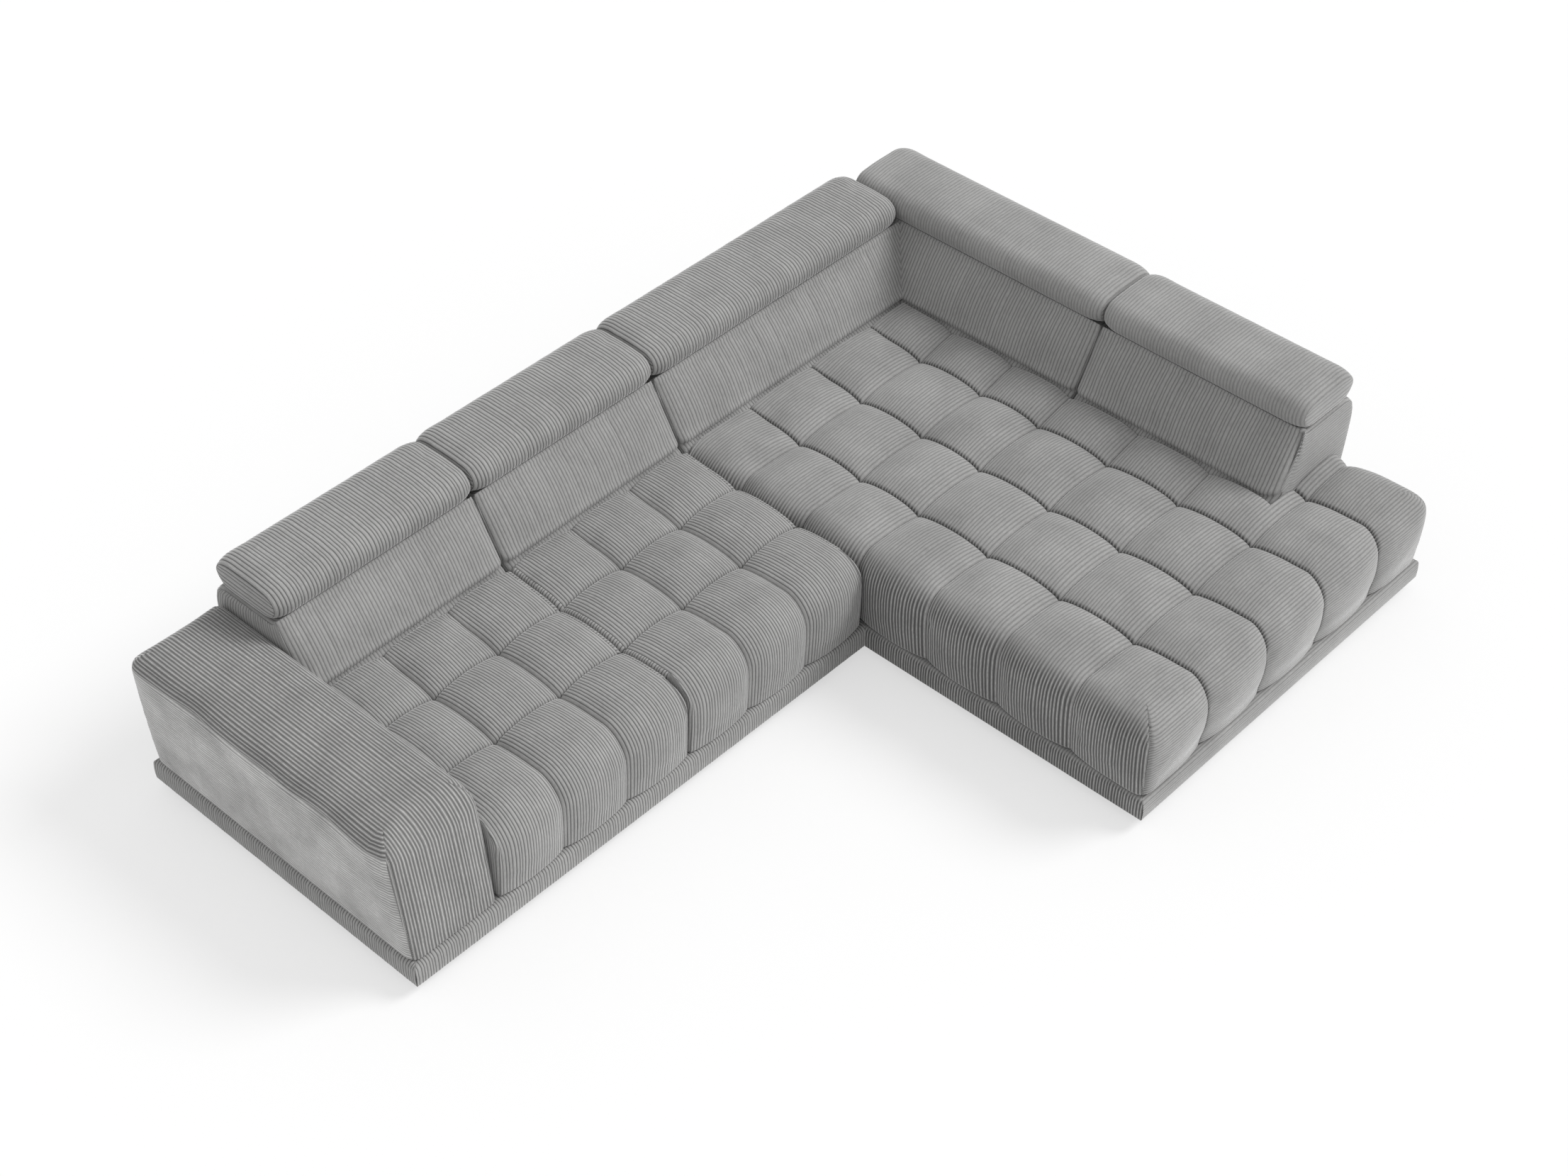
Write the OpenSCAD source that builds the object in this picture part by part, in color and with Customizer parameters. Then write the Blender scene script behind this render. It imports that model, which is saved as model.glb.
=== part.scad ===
// Corner sofa: an arm, two seats, a corner with a long chaise, five backs and
// five headrests that tilt up on ratchet hinges. All lengths are in millimetres.
// The floor is at z = 0, +X runs along the main run to the corner and +Y to the rear.
// Plan sizes start at the plinth's front left corner, and place() centres the whole.

/* [Feet and plinth] */
// Height of the feet
foot_h = 28; // [20:1:50]
// Diameter of a foot
foot_d = 60; // [40:1:70]
// Height of the padded plinth
plinth_h = 86; // [80:1:120]
// Thickness of the padded plinth
plinth_t = 64; // [50:1:80]
// Radius of the plinth's outer edges
plinth_r = 16; // [4:1:24]

/* [Plan] */
// Width of one seat on the main run
seat_w = 777; // [680:1:900]
// Depth of the seats, from their front to the foot of the backs
seat_d = 753; // [720:1:820]
// Width of the corner and chaise
corner_w = 1471; // [1400:1:1650]
// How far the chaise reaches in front of the main run
chaise_l = 1105; // [1000:1:1300]
// How far the cushions stand back from the plinth's face
inset = 8; // [4:1:14]
// Gap between neighbouring cushions
gap = 4; // [2:0.5:6]

/* [Seat cushions] */
// Height of the seat cushions at their crown
seat_h = 297; // [260:1:340]
// Depth of the front row of tiles
front_row = 284; // [250:1:300]
// Depth of each further row of tiles
row_d = 265; // [240:1:280]
// Width of the chaise's tiles, apart from the last column
col_w = 300; // [270:1:320]
// How far the chaise's cross seam lies behind the fronts of the seats
cross_seam = 38; // [20:1:60]
// Depth of the stitched seams below the crown
seam_depth = 30; // [10:1:45]
// Depth of the tufts where two seams cross
tuft_depth = 65; // [46:1:85]
// How full a tile stays towards its seams, where a lower value is fuller
tile_fullness = 0.45; // [0.3:0.05:1]
// Radius of the rolled edges
roll_r = 55; // [30:1:70]
// Radius of the edges that meet a neighbour
side_r = 14; // [8:1:24]
// How far the seams pull the sides in
channel = 14; // [0:1:24]
// How far the foot of a cushion is drawn in
drawn = 10; // [0:1:16]

/* [Arm] */
// Width of the arm, with its share of the gap to the seat
arm_w = 328; // [280:1:400]
// Height of the arm above the plinth
arm_h = 443; // [380:1:470]
// Gap between the arm and the seat beside it
arm_side_gap = 16; // [4:1:30]
// How far the arm's front stands back from the plinth's face
arm_front = 24; // [14:1:40]
// How far the arm's outer side leans out at its shoulder
arm_flare = 6; // [0:1:20]
// How far the arm's front and rear lean back towards the top
arm_lean = 34; // [0:1:40]
arm_rear_lean = 20; // [0:1:24]
// Radius of the arm's upper edges
arm_r = 50; // [30:1:60]
// Rise of the arm's top at its middle
arm_crown = 8; // [0:1:14]

/* [Backs] */
// Depth of a back at its foot
back_d = 420; // [400:1:480]
// Height of the backs above the plinth
back_h = 484; // [460:1:560]
// Height above the plinth at which the fronts start to lean
lean_from = 232; // [200:1:250]
// How far a back's front leans to the rear at its top
lean = 150; // [120:1:165]
// How far the rear of a back swells past its foot
back_swell = 45; // [20:1:60]
// Crown of a back's front
back_crown = 13; // [0:1:20]
// Where the two side backs meet, measured from the plinth's front
side_split = 48; // [20:1:90]
// Length of the last side back
side_back_l = 803; // [700:1:830]

/* [Headrests] */
// Thickness of a headrest at its front roll
rest_t = 114; // [104:1:130]
// Depth of a headrest
rest_d = 300; // [290:1:320]
// How far the first side headrest stands in from its back's end
corner_rest_inset = 38; // [0:1:60]
// Rise of a headrest's top behind its front roll
rest_rise = 4; // [0:1:10]
// Gap between a headrest and the back below it
rest_gap = 2; // [1:0.5:4]
// How far a headrest tilts up, in degrees
rest_tilt = 70; // [40:5:75]

/* [Hinges] */
// Thickness of a hinge leaf
leaf_t = 4; // [3:0.5:6]
// Width of a hinge leaf's neck
leaf_w = 34; // [24:1:38]
// Diameter of the ratchet barrel
barrel_d = 48; // [40:1:54]
// Diameter of the hinge pin
pin_d = 10; // [8:1:14]
// Clearance between the pin and its holes, on the radius
pin_play = 0.05; // [0.02:0.01:0.1]
// Clearance between the two leaves
leaf_play = 0.4; // [0.3:0.1:1]
// Distance from the end of a back's frame to its hinge
hinge_from_end = 130; // [90:1:180]
// Length of the plate that holds a hinge to its post
plate_l = 120; // [100:1:140]
// Width of that plate
plate_w = 44; // [36:1:54]
// Width of the flange under a headrest's hinge leaf
flange_w = 30; // [24:1:36]
// Height of the moving leaf along the headrest's board
arm_bar = 24; // [16:1:30]
// Thickness of the hinge pin's heads, with their play
pin_head = 3; // [2:0.5:4]
// Diameter of the hinge screws
screw_d = 5; // [4:0.5:6]

/* [Frames] */
// Thickness of the frame boards
board_t = 25; // [18:1:30]
// Height of the cross members of the bases
rail_h = 40; // [30:1:50]
// Width of the blocks over the feet
block_w = 80; // [70:1:90]
// Height of the seat boxes inside the cushions
box_h = 120; // [90:1:150]
// Thickness of the seat boxes' and the arm's boards
box_t = 22; // [15:1:28]
// Foam between a seat box and the cushion's faces
foam_t = 60; // [50:1:80]
// Thickness of the padding on the arm's frame
arm_foam = 45; // [36:1:56]
// Depth of the back frames
back_frame_d = 60; // [50:1:70]
// Padding between a back's frame and the rear of its foot
back_foam = 70; // [60:1:76]
// Thickness of the headrest boards
rest_board_t = 15; // [12:1:18]
// Width of a webbing strap
strap_w = 60; // [40:1:70]
// Thickness of a webbing strap
strap_t = 2; // [1.5:0.5:3]
// Clearance between the padding and what it holds
ease = 0.5; // [0.3:0.1:1]
// Diameter of the bolts
bolt_d = 8; // [6:1:10]
// Distance of the outer module bolts from the plinth and from the backs
bolt_in = 130; // [90:1:170]
// Distance of a back's bolts from its hinges
bolt_step = 60; // [50:1:80]

/* [Hidden] */
$fn = 48;

fabric = [0.56, 0.56, 0.555];
timber = [0.76, 0.62, 0.44];
steel = [0.62, 0.63, 0.65];
black = [0.12, 0.12, 0.13];

// Levels above the floor
plinth_z = foot_h + plinth_h;
seat_z = plinth_z + seat_h;
arm_z = plinth_z + arm_h;
lean_z = plinth_z + lean_from;
back_z = plinth_z + back_h;
rest_r = rest_t / 2;
pivot_z = back_z + rest_gap + rest_r;

// Lines of the plan
x_seat = inset + arm_w;
x_joint = x_seat + 2 * seat_w;
x_right = x_joint + corner_w;
y_foot = inset + seat_d;
y_rear = y_foot + back_d + inset;
y_end = -chaise_l;
x_foot = x_right - inset - back_d;
pivot_v = lean + rest_r;

// Whole size in plan, and its middle
reach_v = max(back_d + back_swell, lean + rest_d);
x_low = min(0, inset - arm_flare);
x_high = max(x_right, x_foot + reach_v);
y_high = max(y_rear, y_foot + reach_v);
mid_x = (x_low + x_high) / 2;
mid_y = (y_end + y_high) / 2;

// The five backs: where each starts, its length at the foot and its headrest's length.
// Backs 1 to 3 stand along the rear, and 4 and 5 along the right-hand side.
seat_back_l = seat_w - gap;
corner_back_l = x_foot - x_joint - gap;
side_start = y_rear - inset;
split_y = side_split;
back_start = [x_seat + gap / 2, x_seat + seat_w + gap / 2, x_joint + gap / 2,
    side_start, split_y - gap / 2];
back_l = [seat_back_l, seat_back_l, corner_back_l, side_start - split_y - gap / 2,
    side_back_l];
rest_l = [back_l[0], back_l[1], corner_back_l + lean - gap, back_l[3], back_l[4]];
// Where each headrest starts along its back
rest_from = [0, 0, 0, corner_rest_inset, 0];
// Where the crown of each back's front starts, clear of the back that it meets
crown_start = [0, 0, 0, side_start - y_foot, 0];
side_end = split_y - gap / 2 - side_back_l;

// Tile lines of the cushions
rear_line = inset + front_row + 2 * row_d;
seat_rows = [inset, inset + front_row, inset + front_row + row_d, rear_line];
cross_y = inset + cross_seam;
chaise_row = (cross_y - y_end - inset) / 4;
chaise_rows = concat([for (i = [0 : 3]) y_end + inset + i * chaise_row],
    [cross_y, inset + front_row, inset + front_row + row_d, rear_line]);
corner_x0 = x_joint + gap / 2;
corner_cols = concat([for (i = [0 : 4]) corner_x0 + i * col_w], [x_right - inset]);
// Samples along each tile of a cushion
tile_steps = 4;

// Frames of the bases
joint_play = 1;
mesh_t = 1;

// Places inside the backs, along their depth
frame_end = 40;
frame_top = back_z - 36;
slab_v = [back_d - back_foam - back_frame_d, back_d - back_foam];
back_rail_v = [slab_v[0] - board_t, back_d + inset - plinth_t];
leaf_foot_v = (slab_v[0] + slab_v[1]) / 2;
leaf_foot_z = frame_top - board_t;
neck_run = [leaf_foot_v - pivot_v, leaf_foot_z - pivot_z];
neck_l = norm(neck_run);
neck_angle = atan2(neck_run[1], neck_run[0]);
board_v = [pivot_v + 45, lean + rest_d - 30];
board_z = pivot_z - 8 - rest_board_t;
pocket_play = 3;

function frame_span(i) = [frame_end, back_l[i] - frame_end];
function hinge_u(i) = [frame_span(i)[0] + hinge_from_end, frame_span(i)[1] - hinge_from_end];

module place() {
    translate([-mid_x, -mid_y, 0]) children();
}

// Local frame of a back: X along its length, Y from its foot to the rear
module at_back(i) {
    if (i < 3)
        translate([back_start[i], y_foot, 0]) children();
    else
        translate([x_foot, back_start[i], 0]) rotate([0, 0, -90]) children();
}

module block(low, high) {
    translate(low) cube(high - low);
}

// Samples between the lines of a row of tiles, kept between two limits
function samples(lines, low, high) =
    let (all = [for (i = [0 : len(lines) - 2], k = [0 : tile_steps - 1])
        lines[i] + (lines[i + 1] - lines[i]) * k / tile_steps])
    concat([low], [for (a = all) if (a > low + 4 && a < high - 4) a], [high]);

// Swell of a row of tiles at x: 0 on a seam and 1 at the middle of a tile.
// The first and last tiles stay full to their outer edges where open says so.
function tile_at(x, lines) =
    max(0, len([for (i = [0 : len(lines) - 2]) if (lines[i] <= x) i]) - 1);
function swell(x, lines, open) =
    let (i = min(tile_at(x, lines), len(lines) - 2),
        t = (x - lines[i]) / (lines[i + 1] - lines[i]),
        first = open[0] && i == 0,
        last = open[1] && i == len(lines) - 2)
    first ? sin(90 * min(1, 2 * (1 - t))) :
    last ? sin(90 * min(1, 2 * t)) : sin(180 * min(1, max(0, t)));
function tufted(a, b) =
    seat_z - seam_depth * (1 - pow(max(0, a * b), tile_fullness))
    - (tuft_depth - seam_depth) * (1 - a) * (1 - b);

// A closed pad: a crowned top over the grid xs by ys, rolled edges and drawn-in sides.
// r holds the edge radii [left, right, front, rear]. rise gives the top's height and
// pull how far a seam draws the side in. The left side leans out by flare, and batter
// gives how far the foot stands out in front of the top and in from it at the rear.
module pad(xs, ys, r, z_low, rise, pull, flare = 0, batter = [0, 0]) {
    nx = len(xs);
    ny = len(ys);
    rim = concat([for (i = [0 : nx - 2]) [i, 0]], [for (j = [0 : ny - 2]) [nx - 1, j]],
        [for (i = [nx - 1 : -1 : 1]) [i, ny - 1]], [for (j = [ny - 1 : -1 : 1]) [0, j]]);
    m = len(rim);
    function wx(c) = c[0] == 0 ? -1 : c[0] == nx - 1 ? 1 : 0;
    function wy(c) = c[1] == 0 ? -1 : c[1] == ny - 1 ? 1 : 0;
    function rx(c) = wx(c) < 0 ? r[0] : r[1];
    function ry(c) = wy(c) < 0 ? r[2] : r[3];
    function edge_r(c) = wx(c) == 0 ? ry(c) : wy(c) == 0 ? rx(c) : max(rx(c), ry(c));
    // Each ring: part of the radius, part of the fall round the edge, part of the side
    arcs = [for (a = [30, 60, 90]) [sin(a), 1 - cos(a), 1]];
    sides = [[1, 1, 0.6], [1, 1, 0.25], [1, 1, 0]];
    rings = concat(arcs, sides);
    function ring_point(c, k) =
        let (g = rings[k], x = xs[c[0]], y = ys[c[1]], top = rise(x, y),
            corner = wx(c) != 0 && wy(c) != 0 ? 0.82 : 1,
            draw = pull(x, y) * (k < 1 ? 0.5 : 1) + drawn * pow(1 - g[2], 2),
            lean_out = wx(c) < 0 ? flare * g[2] * g[0] : 0,
            foot_out = (y - ys[0]) / (ys[ny - 1] - ys[0]) * (batter[0] - batter[1]) - batter[0],
            shoulder = top - edge_r(c) * g[1],
            z = z_low + (shoulder - z_low) * g[2])
        [x + wx(c) * (corner * rx(c) * g[0] - draw * g[0] + lean_out),
            y + wy(c) * (corner * ry(c) * g[0] - draw * g[0]) + foot_out * (1 - g[2]), z];
    grid = [for (j = [0 : ny - 1], i = [0 : nx - 1]) [xs[i], ys[j], rise(xs[i], ys[j])]];
    skirt = [for (k = [0 : len(rings) - 1], c = rim) ring_point(c, k)];
    middle = [(xs[0] + xs[nx - 1]) / 2, (ys[0] + ys[ny - 1]) / 2, z_low];
    function at(k, j) = k < 0 ? rim[j % m][1] * nx + rim[j % m][0]
        : nx * ny + k * m + j % m;
    last = len(rings) - 1;
    centre = nx * ny + len(skirt);
    top_faces = [for (j = [0 : ny - 2], i = [0 : nx - 2], h = [0, 1])
        let (a = j * nx + i, b = a + 1, c = a + nx, d = c + 1)
        h == 0 ? [a, d, b] : [a, c, d]];
    skirt_faces = [for (k = [-1 : last - 1], j = [0 : m - 1], h = [0, 1])
        h == 0 ? [at(k, j), at(k, j + 1), at(k + 1, j + 1)]
            : [at(k, j), at(k + 1, j + 1), at(k + 1, j)]];
    base_faces = [for (j = [0 : m - 1]) [centre, at(last, j), at(last, j + 1)]];
    polyhedron(concat(grid, skirt, [middle]), concat(top_faces, skirt_faces, base_faces));
}

// A closed loft through rings of points, all with as many points
module loft(rings) {
    n = len(rings[0]);
    m = len(rings);
    sides = [for (k = [0 : m - 2], i = [0 : n - 1], h = [0, 1])
        let (a = k * n + i, b = k * n + (i + 1) % n)
        h == 0 ? [a, b, b + n] : [a, b + n, a + n]];
    start = [for (i = [n - 1 : -1 : 0]) i];
    finish = [for (i = [0 : n - 1]) (m - 1) * n + i];
    polyhedron([for (ring = rings, p = ring) p], concat(sides, [start, finish]));
}

// What the backs along the rear take from the seats, with a little ease in front
module rear_backs_space() {
    translate([-10, y_foot, 0]) rotate([90, 0, 90])
        linear_extrude(x_right + 20) back_space_outline();
}

// The same for the side backs, up to the end of the last one
module side_backs_space() {
    length = y_rear + 100 - side_end + gap;
    translate([x_foot, side_end - gap + length, 0]) rotate([90, 0, 0])
        linear_extrude(length) back_space_outline();
}

module back_space_outline() {
    far = back_d + 200;
    top = back_z + 40;
    polygon([[-ease, foot_h], [-ease, lean_z], [lean - ease, back_z], [lean - ease, top],
        [far, top], [far, foot_h]]);
}

// Plinth rails

module rail_outline() {
    difference() {
        square([plinth_t, plinth_h]);
        square([plinth_r, plinth_r]);
        translate([0, plinth_h - plinth_r]) square([plinth_r, plinth_r]);
    }
    translate([plinth_r, plinth_r]) circle(plinth_r);
    translate([plinth_r, plinth_h - plinth_r]) circle(plinth_r);
}

// A rail along X with its face on y = 0. An end is mitred for an outer corner with 1,
// for an inner corner with -1, or left square with 0.
module rail(length, start, finish) {
    t = plinth_t;
    difference() {
        translate([start < 0 ? -t : 0, 0, foot_h]) rotate([90, 0, 90])
            linear_extrude(length + (start < 0 ? t : 0) + (finish < 0 ? t : 0)) rail_outline();
        if (start != 0)
            translate([0, 0, foot_h - 1]) linear_extrude(plinth_h + 2)
                polygon([[-2 * t, -1], [-start, -1], [start * (t + 1), t + 1],
                    [-2 * t, t + 1]]);
        if (finish != 0)
            translate([length, 0, foot_h - 1]) linear_extrude(plinth_h + 2)
                polygon([[2 * t, -1], [finish, -1], [-finish * (t + 1), t + 1],
                    [2 * t, t + 1]]);
    }
}

module main_plinth_front() {
    color(fabric) rail(x_joint, 1, -1);
}

module main_plinth_side() {
    color(fabric) translate([0, y_rear, 0]) rotate([0, 0, -90]) rail(y_rear, 1, 1);
}

module main_plinth_rear() {
    color(fabric) translate([x_joint - joint_play / 2, y_rear, 0]) rotate([0, 0, 180])
        rail(x_joint - joint_play / 2, 0, 1);
}

module chaise_plinth_side() {
    color(fabric) translate([x_joint, 0, 0]) rotate([0, 0, -90]) rail(chaise_l, -1, 1);
}

module chaise_plinth_end() {
    color(fabric) translate([x_joint, y_end, 0]) rail(corner_w, 1, 1);
}

module corner_plinth_side() {
    color(fabric) translate([x_right, y_end, 0]) rotate([0, 0, 90])
        rail(y_rear - y_end, 1, 1);
}

module corner_plinth_rear() {
    color(fabric) translate([x_right, y_rear, 0]) rotate([0, 0, 180])
        rail(corner_w - joint_play / 2, 1, 0);
}

// Base frames: rails inside the plinth, cross members, blocks over the feet,
// and wide rails that carry the backs

main_in = [plinth_t, plinth_t, x_joint - joint_play / 2, y_rear - plinth_t];
corner_in = [x_joint + plinth_t, y_end + plinth_t, x_right - plinth_t, y_rear - plinth_t];
main_feet = [for (x = [main_in[0], (main_in[0] + main_in[2]) / 2, main_in[2] - block_w],
    y = [main_in[1], main_in[3] - block_w]) [x, y]];
corner_feet = [for (x = [corner_in[0], corner_in[2] - block_w],
    y = [corner_in[1], (corner_in[1] + corner_in[3]) / 2, corner_in[3] - block_w]) [x, y]];

module ladder(area, crosses) {
    z = [foot_h, plinth_z];
    block([area[0], area[1], z[0]], [area[2], area[1] + board_t, z[1]]);
    block([area[0], area[3] - board_t, z[0]], [area[2], area[3], z[1]]);
    block([area[0], area[1], z[0]], [area[0] + board_t, area[3], z[1]]);
    block([area[2] - board_t, area[1], z[0]], [area[2], area[3], z[1]]);
    for (k = [1 : crosses]) {
        x = area[0] + (area[2] - area[0] - board_t) * k / (crosses + 1);
        block([x, area[1], z[1] - rail_h], [x + board_t, area[3], z[1]]);
    }
}

module foot_blocks(places) {
    for (p = places) block([p[0], p[1], foot_h], [p[0] + block_w, p[1] + block_w, foot_h + 40]);
}

module module_bolt_holes() {
    for (y = module_bolt_y) translate([x_joint - 60, y, module_bolt_z]) rotate([0, 90, 0])
        cylinder(h = 120 + plinth_t, d = bolt_d + 1);
}

module back_bolt_holes(list) {
    for (i = list) at_back(i) for (u = hinge_u(i))
        translate([u + bolt_step, leaf_foot_v, plinth_z - board_t - 1])
            cylinder(h = board_t + 2, d = bolt_d + 1);
}

module main_frame() {
    color(timber) difference() {
        union() {
            ladder(main_in, 4);
            foot_blocks(main_feet);
            block([main_in[0], y_foot + back_rail_v[0], plinth_z - board_t],
                [main_in[2], y_foot + back_rail_v[1], plinth_z]);
        }
        module_bolt_holes();
        back_bolt_holes([0, 1]);
    }
}

module corner_frame() {
    join_x = x_joint + joint_play / 2;
    color(timber) difference() {
        union() {
            ladder(corner_in, 2);
            foot_blocks(corner_feet);
            block([join_x, plinth_t + 2, foot_h], [join_x + board_t, main_in[3], plinth_z]);
            for (y = [plinth_t + 2, main_in[3] - board_t])
                block([join_x, y, foot_h], [corner_in[0] + board_t, y + board_t, plinth_z]);
            block([join_x, y_foot + back_rail_v[0], plinth_z - board_t],
                [corner_in[2], y_foot + back_rail_v[1], plinth_z]);
            block([x_foot + back_rail_v[0], corner_in[1], plinth_z - board_t],
                [x_foot + back_rail_v[1], corner_in[3], plinth_z]);
        }
        module_bolt_holes();
        back_bolt_holes([2, 3, 4]);
    }
}

module feet() {
    color(black) for (p = concat(main_feet, corner_feet))
        translate([p[0] + block_w / 2, p[1] + block_w / 2, 0]) {
            translate([0, 0, 4]) cylinder(h = foot_h - 4, d = foot_d);
            cylinder(h = 4, d = foot_d - 8);
        }
}

module dust_cover(area, places) {
    color(black) difference() {
        block([area[0] + 4, area[1] + 4, foot_h - mesh_t], [area[2] - 4, area[3] - 4, foot_h]);
        for (p = places) translate([p[0] + block_w / 2, p[1] + block_w / 2, 0])
            cylinder(h = foot_h + 1, d = foot_d + 2);
    }
}

// Seat boxes, with straps across their tops

seat_span = [for (i = [0, 1]) [x_seat + i * seat_w + gap / 2, x_seat + (i + 1) * seat_w - gap / 2]];
seat_area = [for (s = seat_span) [s[0] + foam_t, inset + foam_t, s[1] - foam_t, y_foot - foam_t]];
corner_area = [corner_x0 + foam_t, y_end + inset + foam_t, x_foot - foam_t, y_foot - foam_t];
box_z = plinth_z + box_h;

module seat_box(area) {
    color(timber) difference() {
        block([area[0], area[1], plinth_z], [area[2], area[3], box_z]);
        block([area[0] + box_t, area[1] + box_t, plinth_z - 1],
            [area[2] - box_t, area[3] - box_t, box_z + 1]);
    }
}

module webbing(area) {
    w = area[2] - area[0];
    d = area[3] - area[1];
    nx = floor(w / (strap_w * 1.6));
    ny = floor(d / (strap_w * 1.6));
    color(black) {
        for (i = [0 : nx - 1]) {
            x = area[0] + (i + 0.5) * w / nx;
            block([x - strap_w / 2, area[1], box_z], [x + strap_w / 2, area[3], box_z + strap_t]);
        }
        for (j = [0 : ny - 1]) {
            y = area[1] + (j + 0.5) * d / ny;
            block([area[0], y - strap_w / 2, box_z + strap_t],
                [area[2], y + strap_w / 2, box_z + 2 * strap_t]);
        }
    }
}

module box_space(area) {
    block([area[0] - ease, area[1] - ease, plinth_z - 1],
        [area[2] + ease, area[3] + ease, box_z + 2 * strap_t + ease]);
}

// Cushions of the seats and the chaise

module seat_cushion(i) {
    cols = [for (k = [0 : 3]) seat_span[i][0] + k * (seat_span[i][1] - seat_span[i][0]) / 3];
    xs = samples(cols, cols[0] + side_r, cols[3] - side_r);
    ys = samples(seat_rows, seat_rows[0] + roll_r, rear_line);
    a = function(x) swell(x, cols, [false, false]);
    b = function(y) swell(y, seat_rows, [true, true]);
    color(fabric) difference() {
        pad(xs, ys, [side_r, side_r, roll_r, roll_r], plinth_z,
            function(x, y) tufted(a(x), b(y)),
            function(x, y) y > rear_line - 1 ? 0 : channel * (1 - max(a(x), 0.2)));
        rear_backs_space();
        box_space(seat_area[i]);
    }
}

module corner_cushion() {
    cols = corner_cols;
    xs = samples(cols, cols[0] + roll_r, cols[5] - roll_r);
    ys = samples(chaise_rows, chaise_rows[0] + roll_r, rear_line);
    a = function(x) swell(x, cols, [true, true]);
    b = function(y) swell(y, chaise_rows, [true, true]);
    color(fabric) difference() {
        pad(xs, ys, [roll_r, roll_r, roll_r, roll_r], plinth_z,
            function(x, y) tufted(a(x), b(y)),
            function(x, y) channel * (1 - (y > chaise_rows[0] + roll_r + 1 ? b(y) : a(x))));
        rear_backs_space();
        side_backs_space();
        box_space(corner_area);
    }
}

// Arm

arm_area = [inset + arm_foam, arm_front + arm_lean + arm_foam, x_seat - arm_side_gap - arm_foam,
    y_rear - inset - arm_foam];

module arm_frame() {
    top = arm_z - arm_foam;
    color(timber) difference() {
        block([arm_area[0], arm_area[1], plinth_z], [arm_area[2], arm_area[3], top]);
        block([arm_area[0] + box_t, arm_area[1] + box_t, plinth_z - 1],
            [arm_area[2] - box_t, arm_area[3] - box_t, top - box_t]);
    }
}

module arm_cushion() {
    x = [inset + arm_r, x_seat - arm_side_gap - arm_r];
    y = [arm_front + arm_lean + arm_r, y_rear - inset + arm_rear_lean - arm_r];
    xs = [for (k = [0 : 6]) x[0] + (x[1] - x[0]) * k / 6];
    ys = [for (k = [0 : 10]) y[0] + (y[1] - y[0]) * k / 10];
    bow = function(p, q) 1 - pow(2 * (p - q[0]) / (q[1] - q[0]) - 1, 2);
    color(fabric) difference() {
        pad(xs, ys, [arm_r, arm_r, arm_r, arm_r], plinth_z,
            function(p, q) arm_z - arm_crown * (1 - bow(p, x) * bow(q, y)),
            function(p, q) 0, arm_flare, [arm_lean, arm_rear_lean]);
        block([arm_area[0] - ease, arm_area[1] - ease, plinth_z - 1],
            [arm_area[2] + ease, arm_area[3] + ease, arm_z - arm_foam + ease]);
    }
}

// Backs

// Outline of a back as [depth, height, share of the front's crown]. Its top dips under
// the headrest's front roll, a little clear of it.
dip_r = rest_r + rest_gap;
// Where the crown starts on the front's slope, above the seats
crown_from = (seat_z + 6 - lean_z) / (back_z - lean_z);
// The rear's swell as shares of back_swell and of the height
rear_shape = [[0.6, 0.967], [0.93, 0.897], [1, 0.8], [0.8, 0.6], [0.4, 0.34], [0.1, 0.1], [0, 0]];
back_mid = (back_d + lean / 4) / 2;
back_outline = concat(
    [[0, plinth_z, 0], [0, lean_z, 0]],
    [for (k = [0 : 4]) let (t = crown_from + (1 - crown_from) * k / 4)
        [lean * t, lean_z + (back_z - lean_z) * t, sin(45 * k)]],
    [[lean + 4, back_z + 12, 0], [lean + 12, back_z + 17, 0]],
    [for (a = [-142 : 13 : -103]) [pivot_v + (dip_r + 1) * cos(a), pivot_z + (dip_r + 1) * sin(a), 0]],
    [[pivot_v + 10, back_z, 0], [back_d - back_swell / 3, back_z, 0]],
    [for (p = rear_shape) [back_d + p[0] * back_swell, plinth_z + p[1] * back_h, 0]]);

// How much an end of a pad is drawn in at a distance from that end
function end_draw(e) = e < 1 ? 0.05 : e < 11 ? 0.018 : 0;

module back_body(i) {
    mitred = i == 2;
    l = back_l[i];
    full = mitred ? l + lean + 40 : l;
    from = crown_start[i];
    stops = concat([0, 10, 30], [for (k = [1 : 5]) 30 + (l - 60) * k / 6],
        mitred ? [l - 30, full] : [l - 30, l - 10, l]);
    loft([for (u = stops)
        let (s = end_draw(mitred ? u : min(u, l - u)),
            c = u < from ? 0 : 1 - pow(abs(2 * min(1, (u - from) / (l - from)) - 1), 4))
        [for (p = back_outline)
            [u, back_mid + (p[0] - back_crown * p[2] * c - back_mid) * (1 - s),
                plinth_z + (p[1] - plinth_z) * (1 - 0.5 * s)]]]);
}

module frame_space(i) {
    span = frame_span(i);
    block([span[0] - ease, slab_v[0] - ease, plinth_z - 1],
        [span[1] + ease, slab_v[1] + ease, frame_top + ease]);
    for (u = hinge_u(i))
        block([u - pocket_play, slab_v[0] - 70, frame_top - 60],
            [u + leaf_t + pocket_play, slab_v[1] + ease, pivot_z]);
}

module back_cushion(i) {
    color(fabric) difference() {
        at_back(i) back_body(i);
        at_back(i) frame_space(i);
        if (i == 2) translate([-gap, 0, 0]) side_backs_space();
    }
}

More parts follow.
